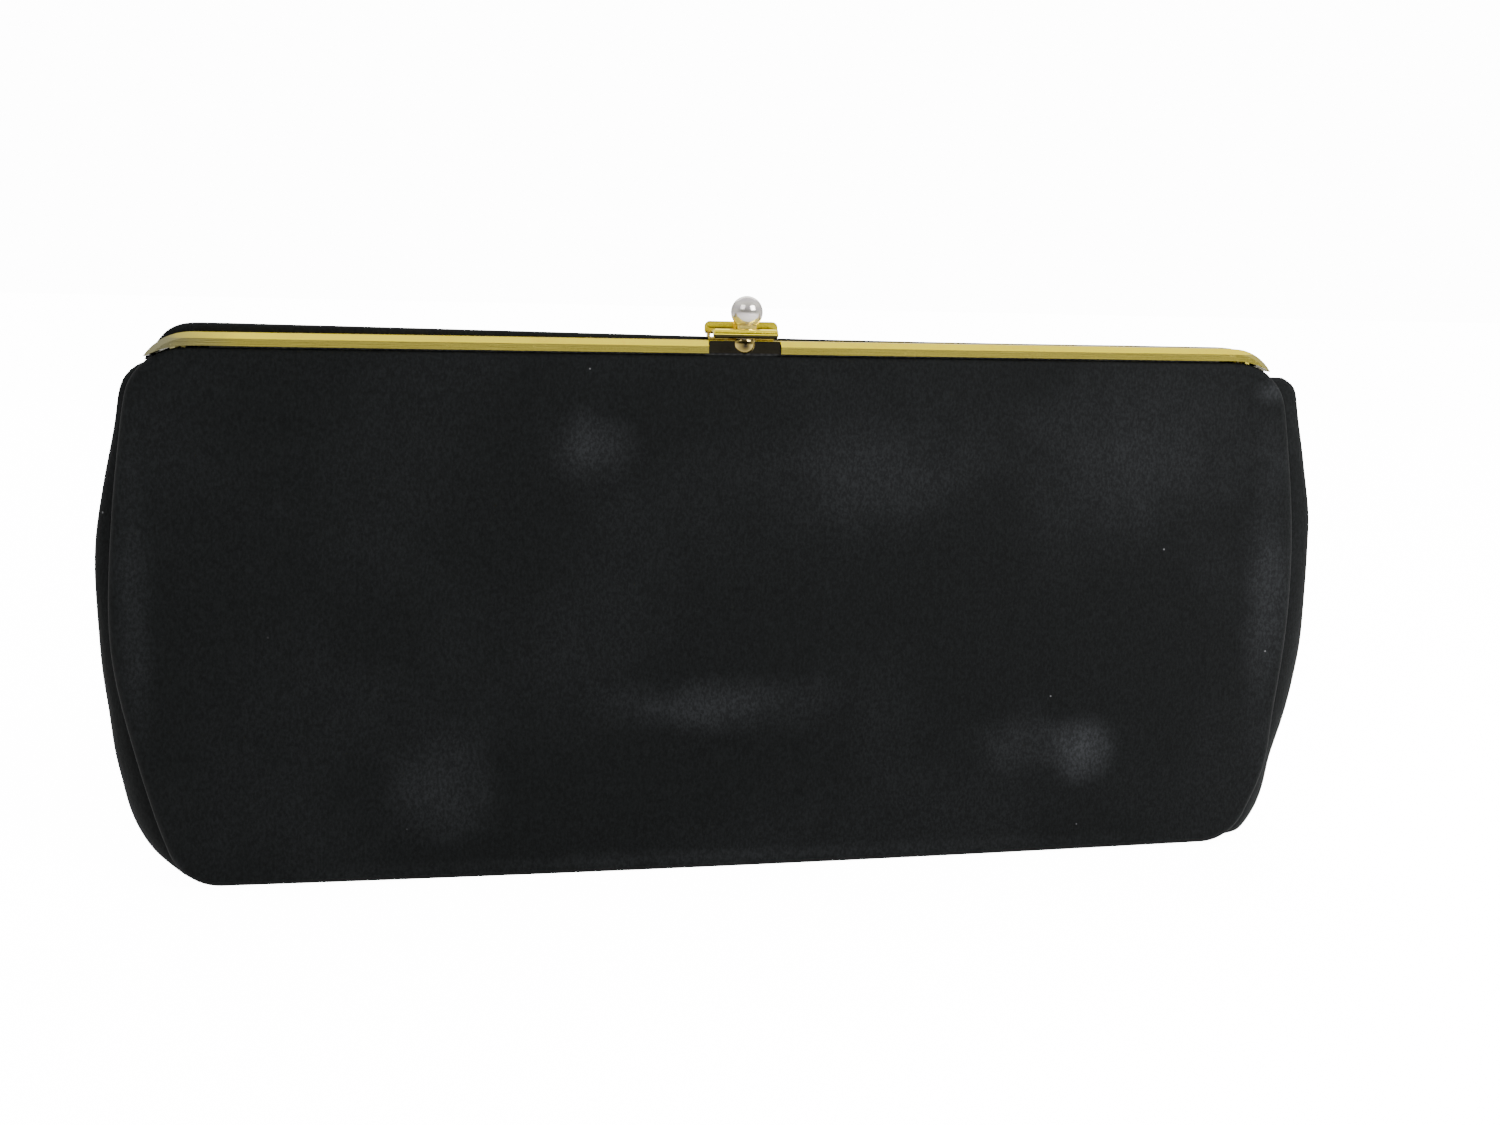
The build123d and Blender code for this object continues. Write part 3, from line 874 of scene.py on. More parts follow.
class Finishes:
    """Every material of the purse."""

    def __init__(self) -> None:
        """Builds the materials from the shared effects."""
        fx = Effects()
        self.crepe = Crepe().make(fx)
        self.crepe_front = Crepe(name="black_crepe_front", spots=front_wear()).make(fx)
        self.lining = Cloth(
            "black_satin", dark=(0.004, 0.004, 0.0045, 1), light=(0.018, 0.018, 0.02, 1),
            pitch=0.35 * MM, roughness=0.42, sheen=0.25,
        ).make(fx)
        self.tape = Cloth(
            "black_tape", dark=(0.004, 0.004, 0.004, 1), light=(0.02, 0.02, 0.02, 1),
            pitch=0.8 * MM, roughness=0.85,
        ).make(fx)
        self.thread = Cloth(
            "black_thread", dark=(0.008, 0.008, 0.009, 1), light=(0.04, 0.04, 0.043, 1),
            pitch=0.3 * MM, roughness=0.55,
        ).make(fx)
        bar_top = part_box("front_frame")[1].z
        bar_end = Vector((-0.122, -0.004, bar_top))
        # Below its top bevel the bar's face is painted a dark olive: painted shade, with the bevel left
        # bright as the lit side.
        self.bar = Plated(
            "gilt_bar", bright=(1.0, 0.80, 0.04, 1), stain=(0.75, 0.52, 0.03, 1),
            roughness=0.2, brush=0.5, tarnish=0.3,
            lower=(0.42, 0.35, 0.06, 1), painted_shade_top=bar_top - 1.25 * MM,
            spots=((bar_end, Vector((0.016, 0.02, 0.02)), (0.2, 0.19, 0.11, 1)),),
        ).make(fx)
        # The clasp's lowest band, the lip's underside, is painted near black: painted shade and painted dark
        # reflection.
        self.clasp = Plated(
            "gilt_clasp", bright=(1.0, 0.80, 0.02, 1), stain=(0.7, 0.5, 0.03, 1),
            roughness=0.16, brush=0.25, tarnish=0.25,
            lower=(0.035, 0.03, 0.012, 1), painted_shade_top=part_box("clasp_flap")[0].z + 0.85 * MM,
        ).make(fx)
        self.fitting = Plated(
            "gilt_fitting", bright=(0.9, 0.7, 0.16, 1), stain=(0.5, 0.38, 0.08, 1),
            roughness=0.18, brush=0.25, tarnish=0.25,
        ).make(fx)
        # The catch plate, gilt in fact, is coloured near black: painted shade of the recess under the lip
        # and painted dark reflection.
        self.mirror = Plated(
            "catch_plate_painted_shade", bright=(0.028, 0.025, 0.018, 1), stain=(0.012, 0.01, 0.007, 1),
            roughness=0.1, brush=0.1, tarnish=0.3,
        ).make(fx)
        # The stud's face gets a near black oval spot inside its gilt edge: a painted dark reflection.
        low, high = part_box("catch_stud")
        stud_dark_reflection = Vector((0, low.y, (low.z + high.z) / 2 + 0.1 * MM))
        self.stud = Plated(
            "gilt_stud", bright=(0.95, 0.72, 0.22, 1), stain=(0.6, 0.42, 0.1, 1),
            roughness=0.12, brush=0.1, tarnish=0.1,
            spots=((stud_dark_reflection, Vector((4.0, 8.0, 3.4)) * MM, (0.012, 0.01, 0.008, 1)),),
        ).make(fx)
        self.pearl = PearlLustre().make()
        self.board = Board("dyed_board", pale=(0.026, 0.025, 0.024, 1), dark=(0.012, 0.012, 0.012, 1)).make()


# ---------------------------------------------------------------- panels


@dataclass
class PanelShape:
    """Outline and edge of one panel, three tangent arcs on each side, up from its lower hinge line."""

    edge: float = 1.9 * MM
    widest: float = 132.4 * MM
    widest_height: float = 64.0 * MM
    side_radius: float = 182.5 * MM
    shoulder_radius: float = 12.5 * MM
    shoulder_points: int = 13
    corner_radius: float = 11.0 * MM
    corner_points: int = 12
    step: float = 2.2 * MM
    length: float = field(init=False)

    def __post_init__(self) -> None:
        """Reads the panel's length from its two hinge lines."""
        self.length = (joint_point("front_frame_hinge") - joint_point("body_open")).length

    def half_width(self, v: float) -> float:
        """Half the panel's width at a height, on its side arc."""
        rise = v - self.widest_height
        return self.widest - self.side_radius + math.sqrt(self.side_radius**2 - rise**2)

    def arc_centre(self, v: float, radius: float) -> Point:
        """Finds the centre of a smaller arc that runs smoothly into the side arc.

        Args:
            v: Height of the centre.
            radius: Radius of the smaller arc.

        Returns:
            The centre, on the right of the panel.
        """
        rise = v - self.widest_height
        reach = math.sqrt((self.side_radius - radius) ** 2 - rise**2)
        return self.widest - self.side_radius + reach, v

    def shoulder(self) -> Point:
        """Centre of the right shoulder's arc."""
        return self.arc_centre(self.length + self.edge - self.shoulder_radius, self.shoulder_radius)

    def corner(self) -> Point:
        """Centre of the lower right corner's arc."""
        return self.arc_centre(self.corner_radius - self.edge, self.corner_radius)

    def right_half(self) -> list[Point]:
        """Lays out the outline's right half.

        Returns:
            Points from the middle of the top, down the right, to the middle of the bottom.
        """
        top = self.length + self.edge
        side = (self.widest - self.side_radius, self.widest_height)
        shoulder, corner = self.shoulder(), self.corner()
        high = math.degrees(math.atan2(shoulder[1] - side[1], shoulder[0] - side[0]))
        low = math.degrees(math.atan2(corner[1] - side[1], corner[0] - side[0]))
        count = round(shoulder[0] / self.step)
        rows = round(math.radians(high - low) * self.side_radius / self.step)
        points = [(x, top) for x in spaced(0, shoulder[0], count)[:-1]]
        points += arc(shoulder, self.shoulder_radius, 90, high, self.shoulder_points)
        points += arc(side, self.side_radius, high, low, rows)[1:]
        points += arc(corner, self.corner_radius, low, -90, self.corner_points)[1:]
        points += [(x, -self.edge) for x in spaced(corner[0], 0, count)[1:]]
        return points

    def outline(self) -> list[Point]:
        """Closed outline, clockwise as seen from outside the front."""
        right = self.right_half()
        return right + [(-x, v) for x, v in reversed(right[1:-1])]

    def inset(self, distance: float) -> list[Point]:
        """Moves the outline inwards.

        Args:
            distance: How far each point moves, square to the outline.

        Returns:
            The moved points, in the outline's order.
        """
        points = self.outline()
        count = len(points)
        moved = []
        for i, (x, v) in enumerate(points):
            before = points[i - 1]
            after = points[(i + 1) % count]
            along = Vector((after[0] - before[0], after[1] - before[1])).normalized()
            moved.append((x + along.y * distance, v - along.x * distance))
        return moved


@dataclass(frozen=True)
class Swell:
    """Place where a panel's side stands out further than its arc."""

    side: Side
    height: float
    spread: float
    reach: float


@dataclass
class Panel:
    """One padded panel: fabric cover, lining and the strip that runs up into its frame bar.

    Insets are inwards from the outline, heights up the panel and depths out from its mid-plane.
    """

    half: Half
    shape: PanelShape
    crown: float = 0.9 * MM
    crown_reach: float = 34.0 * MM
    ripple: float = 0.16 * MM
    pucker: float = 0.03 * MM
    edge_pucker: float = 0.05 * MM
    pucker_fade: Point = (4.0 * MM, 22.0 * MM)
    bottom_bow: float = 0.9 * MM
    bow_height: float = 14.0 * MM
    turned_in: tuple[Point, ...] = ((9.0 * MM, -1.62 * MM), (5.0 * MM, -1.7 * MM), (3.0 * MM, -1.84 * MM))
    edge_angles: range = range(-80, 81, 16)
    eased: tuple[float, ...] = (2.2 * MM, 3.4 * MM, 5.2 * MM, 7.6 * MM)
    ease_range: Point = (1.4 * MM, 4.0 * MM)
    spine: float = 76.0 * MM
    spine_inside: float = 45.0 * MM
    spine_steps: int = 16
    weld: float = 0.09 * MM
    slot_x: Point = (114.6 * MM, 122.2 * MM)
    slot_bottom: float = 72.5 * MM
    slot_depth: float = 1.0 * MM
    bar_slot_depth: float = 1.8 * MM
    bar_slot_height: float = 2.5 * MM
    lining_x: float = 114.4 * MM
    lining_depth: float = 2.15 * MM
    lining_pucker: float = 0.12 * MM
    lining_thickness: float = 0.3 * MM
    tuck_profile: tuple[Point, ...] = (
        (-3.0, 1.3), (-1.6, 1.35), (-0.2, 1.3), (0.5, 1.15), (1.2, 1.05), (2.0, 1.05),
    )
    tuck_cuts: int = 60
    swell_range: Point = (80.0 * MM, 128.0 * MM)
    swells: tuple[Swell, ...] = (
        Swell(Side.LEFT, height=50 * MM, spread=18 * MM, reach=1.2 * MM),
        Swell(Side.LEFT, height=104 * MM, spread=9 * MM, reach=0.5 * MM),
        Swell(Side.RIGHT, height=17 * MM, spread=10 * MM, reach=1.5 * MM),
        Swell(Side.RIGHT, height=104 * MM, spread=9 * MM, reach=0.6 * MM),
    )

    def __post_init__(self) -> None:
        """Reads the panel's place from the frame's hinge lines."""
        low = joint_point("body_open")
        high = joint_point("front_frame_hinge")
        sign = -self.half.value
        self.low = Vector((0, low.y * sign, low.z))
        self.high = Vector((0, high.y * sign, high.z))
        self.up = (self.high - self.low).normalized()
        self.out = Vector((0, self.half.value * self.up.z, -self.half.value * self.up.y))
        self.body = "front_panel" if self.half is Half.FRONT else "back_half"
        self.frame_body = "front_frame" if self.half is Half.FRONT else "back_frame"
        self.prefix = self.half.name.lower()

    def place(self, x: float, v: float, n: float) -> Vector:
        """Point at x along the purse, v up the panel and n out from its mid-plane."""
        return self.low + Vector((x, 0, 0)) + self.up * v + self.out * n

    def settle(self, x: float, v: float) -> Point:
        """Adds the small unevenness of a hand-made panel: bowed bottom edge and unequal sides.

        Args:
            x: Place along the purse.
            v: Height up the panel.

        Returns:
            The moved place and height.
        """
        bow = self.bottom_bow * (x / self.shape.widest) ** 2 * smooth(self.bow_height, 0, v)
        near_side = smooth(*self.swell_range, abs(x))
        moved = 0.0
        for swell in self.swells:
            if swell.side is (Side.LEFT if x < 0 else Side.RIGHT):
                fall = math.exp(-(((v - swell.height) / swell.spread) ** 2))
                moved += swell.side.value * swell.reach * fall
        return x + moved * near_side, v + bow

    def surface_depth(self, x: float, v: float, inside: float) -> float:
        """Depth of the outer fabric, padded out away from the edge.

        Args:
            x: Place along the purse.
            v: Height up the panel.
            inside: Distance in from the edge.

        Returns:
            Distance from the mid-plane.
        """
        rise = self.crown * smooth(0, self.crown_reach, inside)
        broad = uneven(x, v, waves=(42, 55), seed=3.7 * self.half.value)
        small = uneven(x, v, waves=(160, 190), seed=9.1)
        near_edge = 1 - smooth(*self.pucker_fade, inside)
        pucker = self.pucker + self.edge_pucker * near_edge
        return self.shape.edge + rise + self.ripple * broad + pucker * small

    def edge_rings(self) -> list[list[Place]]:
        """Lays out the turned-in lip and the round edge.

        Returns:
            Rings of points, each point as its x, height and depth.
        """
        edge = self.shape.edge
        levels = list(self.turned_in)
        for angle in self.edge_angles:
            a = math.radians(angle)
            levels.append((edge * (1 - math.cos(a)), edge * math.sin(a)))
        return [[(x, v, depth) for x, v in self.shape.inset(inset)] for inset, depth in levels]

    def face_rings(self) -> list[list[Place]]:
        """Lays out the padded face, from its edge in to a level line across its middle.

        Returns:
            Rings of points, each point as its x, height and depth.
        """
        shape = self.shape
        rings = []
        for inset in self.eased:
            ease = smooth(*self.ease_range, inset)
            ring = []
            for x, v in shape.inset(inset):
                depth = self.surface_depth(x, v, inset)
                ring.append((x, v, shape.edge + (depth - shape.edge) * ease))
            rings.append(ring)
        middle = shape.length / 2
        for share in spaced(0, 1, self.spine_steps)[1:]:
            inside = self.eased[-1] + share * self.spine_inside
            ring = []
            for x, v in shape.inset(self.eased[-1]):
                straight = shape.shoulder()[0] if v > middle else shape.corner()[0]
                target = self.spine * max(-1.0, min(1.0, x / straight))
                sx = x + (target - x) * share
                sv = v + (middle - v) * share
                ring.append((sx, sv, self.surface_depth(sx, sv, inside)))
            rings.append(ring)
        return rings

    def build_cover(self) -> bpy.types.Object:
        """Makes the fabric cover: turned-in lip, round edge and padded outer face.

        Returns:
            The cover.
        """
        rings = self.edge_rings() + self.face_rings()
        points = [self.place(*self.settle(x, v), depth) for ring in rings for x, v, depth in ring]
        cover = mesh_object(f"{self.prefix}_cover_fabric", points, loop_faces(len(rings), len(rings[0])))
        with mesh_edit(cover) as work:
            bmesh.ops.remove_doubles(work, verts=work.verts, dist=self.weld)
        self.cut_leg_slots(cover)
        recalculate(cover)
        return cover

    def cut_leg_slots(self, cover: bpy.types.Object) -> None:
        """Opens the inside of the cover where the frame's legs lie.

        Args:
            cover: The cover, which loses the faces in the legs' way.
        """

        def in_slot(p: Vector) -> bool:
            """Tells whether a point is in the way of a leg.

            Args:
                p: The point.

            Returns:
                True if it is.
            """
            local = p - self.low
            low, high = self.slot_x
            v = local @ self.up
            under_bar = self.half is Half.BACK and v > self.shape.length - self.bar_slot_height
            depth = self.bar_slot_depth if under_bar else self.slot_depth
            return low < abs(p.x) < high and v > self.slot_bottom and local @ self.out < depth

        drop_faces(cover, in_slot)

    def build_lining(self) -> bpy.types.Object:
        """Makes the satin lining sheet, cut back where the frame's legs lie.

        Returns:
            The lining.
        """
        inner = self.lining_x
        bottom, split, top = 2.4 * MM, self.slot_bottom - 4 * MM, self.shape.length - 2.6 * MM
        columns = spaced(-inner, inner, 52)
        rows = spaced(bottom, split, 18) + spaced(split, top, 9)[1:]
        points = []
        for v in rows:
            edge = max(inner + 1 * MM, self.shape.half_width(v) - 4 * MM)
            between = (edge + inner) / 2
            for x in [-edge, -between, *columns, between, edge]:
                pucker = self.lining_pucker * uneven(x, v, waves=(60, 60), seed=5.0 + self.half.value)
                points.append(self.place(x, v, -self.lining_depth - pucker))
        lining = mesh_object(f"{self.prefix}_lining_satin", points, sheet_faces(len(rows), len(columns) + 4))
        high = self.place(0, split, 0).z
        drop_faces(lining, lambda p: abs(p.x) > inner and p.z > high)
        recalculate(lining)
        thicken(lining, self.lining_thickness, 1)
        return lining

    def build_tuck(self) -> bpy.types.Object:
        """Makes the strip of fabric that runs from the panel's top up into the bar's channel.

        Returns:
            The strip.
        """
        low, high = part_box(f"{self.prefix}_binding_tape")
        middle = (low.y + high.y) / 2
        shoulder, drop = 0.7 * MM, 0.1 * MM
        sides = [(half * MM, low.z + z * MM) for z, half in self.tuck_profile]
        ring = [(middle - half, z) for half, z in sides]
        ring += [(middle - shoulder, high.z - drop), (middle, high.z), (middle + shoulder, high.z - drop)]
        ring += [(middle + half, z) for half, z in reversed(sides)]
        points = [Vector((x, y, z)) for x in spaced(-high.x, high.x, self.tuck_cuts) for y, z in ring]
        tuck = mesh_object(f"{self.prefix}_top_tuck", points, capped_faces(self.tuck_cuts + 1, len(ring)))
        recalculate(tuck)
        return tuck

    def dress(self, finishes: Finishes) -> None:
        """Builds the panel's pieces, gives them their finishes and joins them to the frame.

        Args:
            finishes: The purse's materials.
        """
        front = self.half is Half.FRONT
        cover = self.build_cover()
        Drape().relax(cover, self)
        cover.data.materials.append(finishes.crepe_front if front else finishes.crepe)
        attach(cover, self.body)
        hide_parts(f"{self.prefix}_cover", f"{self.prefix}_padding")
        LOG.info("piece %s", cover.name)

        lining = self.build_lining()
        lining.data.materials.append(finishes.lining)
        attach(lining, self.body)
        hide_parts(f"{self.prefix}_lining")
        LOG.info("piece %s", lining.name)

        tuck = self.build_tuck()
        tuck.data.materials.append(finishes.tape)
        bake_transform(tuck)
        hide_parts(f"{self.prefix}_binding_tape")
        LOG.info("piece %s", tuck.name)


@dataclass(frozen=True)
class Drape:
    """Cloth simulation that lets a cover relax over its padding, held at its edges."""

    cap: float = 0.3 * MM
    hold_range: Point = (1.0 * MM, 14.0 * MM)
    loosest: float = 0.1
    quality: int = 4
    mass: float = 0.15
    stiffness: float = 30.0
    bending: float = 6.0
    pressure: float = 0.5
    shrink: float = 0.002
    steps: int = 12

    def hold(self, cover: bpy.types.Object, panel: Panel) -> None:
        """Weights the cover's edges so that they stay put.

        Args:
            cover: The cover, which gains a vertex group.
            panel: The panel that it belongs to.
        """
        held = cover.vertex_groups.new(name="held")
        shape = panel.shape
        for vertex in cover.data.vertices:
            local = vertex.co - panel.low
            v = local @ panel.up
            near = min(shape.half_width(v) - abs(vertex.co.x), shape.length - v, v)
            face = local @ panel.out >= shape.edge * 0.99
            weight = 1 - (1 - self.loosest) * smooth(*self.hold_range, near) if face else 1.0
            held.add([vertex.index], weight, "REPLACE")

    def relax(self, cover: bpy.types.Object, panel: Panel) -> None:
        """Runs the simulation and keeps what it does to the cover's depth.

        Args:
            cover: The cover; its mesh is replaced.
            panel: The panel that says which way is out.
        """
        before = [v.co.copy() for v in cover.data.vertices]
        self.hold(cover, panel)
        settings = cover.modifiers.new("Cloth", "CLOTH").settings
        settings.quality = self.quality
        settings.mass = self.mass
        settings.tension_stiffness = self.stiffness
        settings.compression_stiffness = self.stiffness
        settings.bending_stiffness = self.bending
        settings.use_pressure = True
        settings.uniform_pressure_force = self.pressure
        settings.shrink_min = self.shrink
        settings.vertex_group_mass = "held"
        settings.effector_weights.gravity = 0
        scene = bpy.context.scene
        for step in range(1, self.steps + 1):
            scene.frame_set(step)
        apply_modifiers(cover)
        scene.frame_set(1)
        for vertex, rest in zip(cover.data.vertices, before):
            outwards = (vertex.co - rest) @ panel.out
            vertex.co = rest + panel.out * max(-self.cap, min(self.cap, outwards))
        cover.vertex_groups.clear()
        cover.data.shade_smooth()


# ---------------------------------------------------------------- gussets

GUSSET_CHORD = (
    (1.0, 116.0, 0.9), (9.0, 121.2, 0.42), (24.0, 125.2, 0.16),
    (62.0, 129.6, 0.02), (100.0, 126.4, -0.09), (111.5, 124.6, -0.3),
)
GUSSET_FOLDS = {
    Side.LEFT: (
        (1.0, 121.5, 1.2), (6.6, 128.0, 0.75), (15.4, 132.4, 0.3), (24.0, 134.0, 0.17),
        (40.0, 135.9, 0.08), (66.0, 136.9, 0.0), (92.0, 132.7, -0.24), (104.0, 130.4, -0.16),
        (108.2, 129.0, -0.5), (111.2, 125.2, -1.6),
    ),
    Side.RIGHT: (
        (1.0, 127.4, 0.9), (5.0, 130.2, 0.55), (11.0, 132.4, 0.25), (20.6, 134.2, 0.3),
        (30.0, 137.0, 0.28), (39.5, 139.0, 0.12), (55.0, 139.9, 0.0), (75.0, 139.6, -0.03),
        (92.0, 136.6, -0.2), (104.5, 133.8, -0.2), (109.4, 132.4, -0.6), (111.2, 129.0, -2.6),
    ),
}


def read_reach(knots: tuple[Place, ...], z: float) -> float:
    """Reads how far out a gusset's line is, from knots in millimetres.

    Args:
        knots: (height, reach, slope) of each knot, from the bottom up.
        z: Height, in metres.

    Returns:
        The reach from the purse's middle, in metres.
    """
    return hermite([(at * MM, out * MM, slope) for at, out, slope in knots], z)


@dataclass
class Gusset:
    """Side gusset: a soft strip that bulges out between the panels, with an ear at its top."""

    side: Side
    shape: PanelShape
    thickness: float = 0.8 * MM
    bottom: float = 1.1 * MM
    top: float = 111.2 * MM
    least_depth: float = 0.5 * MM
    squareness: float = 2.4
    fullness: float = 0.62
    crumple: float = 0.05
    narrowing: float = 0.04
    pucker: float = 0.22 * MM
    columns: int = 23
    rows: int = 60

    def __post_init__(self) -> None:
        """Reads the depth between the panels from the frame's hinge lines."""
        self.low = joint_point("body_open")
        self.high = joint_point("front_frame_hinge")

    def half_depth(self, z: float) -> float:
        """Half the gap between the panels' inner faces at a height."""
        lean = (self.low.y - self.high.y) / (self.high.z - self.low.z)
        return -(self.low.y - (z - self.low.z) * lean) - self.shape.edge

    def build(self) -> bpy.types.Object:
        """Makes the gusset's grid, from the back panel's edge round to the front panel's.

        Returns:
            The gusset.
        """
        points = []
        for z in spaced(self.bottom, self.top, self.rows):
            half = max(self.half_depth(z), self.least_depth)
            chord = read_reach(GUSSET_CHORD, z)
            peak = read_reach(GUSSET_FOLDS[self.side], z)
            for t in spaced(-1, 1, self.columns):
                bulge = max(0.0, 1 - abs(t) ** self.squareness) ** self.fullness
                crumple = uneven(t, z, waves=(1.3, 34), seed=2.0 * self.side.value)
                fine = uneven(t, z, waves=(3.1, 90), seed=7.0)
                x = chord + (peak - chord) * bulge * (1 + self.crumple * crumple)
                x += self.pucker * fine * bulge
                y = -half * t * (1 - self.narrowing * crumple)
                points.append(Vector((self.side.value * x, y, z)))
        faces = sheet_faces(self.rows + 1, self.columns + 1)
        gusset = mesh_object(f"gusset_{self.side.name.lower()}_fabric", points, faces)
        recalculate(gusset)
        thicken(gusset, self.thickness, 1, offset=0.0)
        return gusset

    def dress(self, finishes: Finishes) -> None:
        """Builds the gusset and gives it its fabric.

        Args:
            finishes: The purse's materials.
        """
        gusset = self.build()
        gusset.data.materials.append(finishes.crepe)
        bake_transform(gusset)
        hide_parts(f"gusset_{self.side.name.lower()}")
        LOG.info("piece %s", gusset.name)


# ---------------------------------------------------------------- base, pocket, back sleeve


@dataclass
class Base:
    """Fabric base strip and its lining; profiles are shares of the strip's half depth and height."""

    columns: int = 90
    end_round: float = 4.0 * MM
    bluntness: float = 0.06
    under: tuple[Point, ...] = ((-1.0, 0.55), (-0.97, 0.25), (-0.9, 0.06), (-0.6, 0.0), (0.0, 0.02))
    over: tuple[Point, ...] = (
        (0.97, 0.85), (0.9, 0.98), (0.5, 1.0), (0.0, 1.0), (-0.5, 1.0), (-0.9, 0.98), (-0.97, 0.85),
    )
    lining_columns: int = 80
    lining_rows: int = 10
    turn_up: float = 0.5 * MM
    pucker: float = 0.1 * MM
    thickness: float = 0.22 * MM

    def build_strip(self) -> bpy.types.Object:
        """Makes the flat strip, with soft long edges and round ends.

        Returns:
            The strip.
        """
        low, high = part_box("base_strip")
        profile = [*self.under, *((-y, z) for y, z in reversed(self.under[:-1])), *self.over]
        points = []
        for x in spaced(-high.x, high.x, self.columns):
            past = max(0.0, (abs(x) - (high.x - self.end_round)) / self.end_round)
            round_off = math.sqrt(max(self.bluntness, 1 - past**2))
            for y, z in profile:
                points.append(Vector((x, y * high.y * round_off, low.z + z * (high.z - low.z))))
        strip = mesh_object("base_fabric", points, capped_faces(self.columns + 1, len(profile)))
        recalculate(strip)
        return strip

    def build_lining(self) -> bpy.types.Object:
        """Makes the satin sheet on the base board, with its edges turned up a little.

        Returns:
            The lining.
        """
        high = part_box("base_lining")[1]
        points = []
        for a in spaced(-1, 1, self.lining_columns):
            for b in spaced(-1, 1, self.lining_rows):
                turned = self.turn_up * max(smooth(0.86, 1.0, abs(b)), smooth(0.975, 1.0, abs(a)))
                pucker = self.pucker * uneven(a, b, waves=(9, 2), seed=21.0)
                points.append(Vector((a * high.x, b * high.y, high.z - 0.1 * MM + turned + pucker)))
        faces = sheet_faces(self.lining_columns + 1, self.lining_rows + 1)
        sheet = mesh_object("base_lining_satin", points, faces)
        recalculate(sheet)
        thicken(sheet, self.thickness, 1, offset=0.0)
        return sheet

    def dress(self, finishes: Finishes) -> None:
        """Builds the base and joins it to the back half.

        Args:
            finishes: The purse's materials.
        """
        lining = self.build_lining()
        lining.data.materials.append(finishes.lining)
        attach(lining, "back_half")
        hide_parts("base_lining")
        LOG.info("piece %s", lining.name)
        strip = self.build_strip()
        strip.data.materials.append(finishes.crepe)
        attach(strip, "back_half")
        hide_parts("base_strip")
        LOG.info("piece %s", strip.name)


@dataclass
class Pocket:
    """Slip pocket on the back lining, with a folded hem along its mouth and a stitched edge."""

    panel: Panel
    half_width: float = 59.0 * MM
    low: float = 19.2 * MM
    high: float = 64.8 * MM
    hem: float = 4.0 * MM
    hem_share: float = 0.995
    off_panel: float = 2.55 * MM
    gape: float = 0.9 * MM
    pucker: float = 0.12 * MM
    corner_width: float = 5.0 * MM
    corner_height: float = 6.0 * MM
    corner_lift: float = 1.4 * MM
    thickness: float = 0.22 * MM
    columns: int = 44
    rows: int = 18
    seam_steps: int = 60

    def depth(self, x: float, v: float) -> float:
        """Finds how far the pocket stands off the panel's mid-plane, fuller towards its mouth.

        Args:
            x: Place along the purse.
            v: Height up the panel.

        Returns:
            The distance inwards from the mid-plane.
        """
        across = 1 - abs(x / self.half_width) ** 3
        rise = smooth(self.low, self.high, v)
        pucker = self.pucker * uneven(x, v, waves=(70, 70), seed=13.0)
        return self.off_panel + self.gape * across * rise + pucker * across

    def build(self) -> bpy.types.Object:
        """Makes the satin patch, with its hem turned down inside the mouth.

        Returns:
            The pocket.
        """
        place = self.panel.place
        across = spaced(-self.half_width, self.half_width, self.columns)
        points = []
        for v in spaced(self.low, self.high, self.rows):
            for x in across:
                corner = smooth(self.half_width - self.corner_width, self.half_width, abs(x))
                low_down = smooth(self.low + self.corner_height, self.low, v)
                points.append(place(x, v + self.corner_lift * corner * low_down, -self.depth(x, v)))
        narrower = [self.hem_share * x for x in across]
        for v, inward in ((self.high - 0.2 * MM, 0.28 * MM), (self.high - self.hem, 0.25 * MM)):
            points += [place(x, v, -self.depth(x, self.high) + inward) for x in narrower]
        patch = mesh_object("slip_pocket_satin", points, sheet_faces(self.rows + 3, self.columns + 1))
        recalculate(patch)
        thicken(patch, self.thickness, 1, offset=0.0)
        return patch

    def seam(self, start: Point, end: Point) -> list[Vector]:
        """Runs a straight seam over the pocket's face.

        Args:
            start: Its first x and height.
            end: Its last x and height.

        Returns:
            Points along the seam, just proud of the satin.
        """
        xs = spaced(start[0], end[0], self.seam_steps)
        heights = spaced(start[1], end[1], self.seam_steps)
        return [self.panel.place(x, v, -self.depth(x, v) - 0.1 * MM) for x, v in zip(xs, heights)]

    def seams(self) -> list[list[Vector]]:
        """Lays out the stitching: down both sides, along the bottom and under the hem.

        Returns:
            Points along each seam.
        """
        inner = self.half_width - 1.6 * MM
        bottom = self.low + 1.8 * MM
        under = self.high - self.hem + 0.8 * MM
        sides = [self.seam((x, self.high - 1 * MM), (x, bottom + 2 * MM)) for x in (-inner, inner)]
        lowest = self.seam((2 * MM - inner, bottom), (inner - 2 * MM, bottom))
        return [*sides, lowest, self.seam((-inner, under), (inner, under))]

    def dress(self, finishes: Finishes) -> None:
        """Builds the pocket and its stitching.

        Args:
            finishes: The purse's materials.
        """
        pocket = self.build()
        pocket.data.materials.append(finishes.lining)
        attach(pocket, "back_half")
        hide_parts("slip_pocket")
        stitches = stitch_rows("slip_pocket_stitches", self.seams(), -self.panel.out)
        stitches.data.materials.append(finishes.thread)
        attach(stitches, "back_half")
        LOG.info("piece %s", pocket.name)
        LOG.info("piece %s", stitches.name)


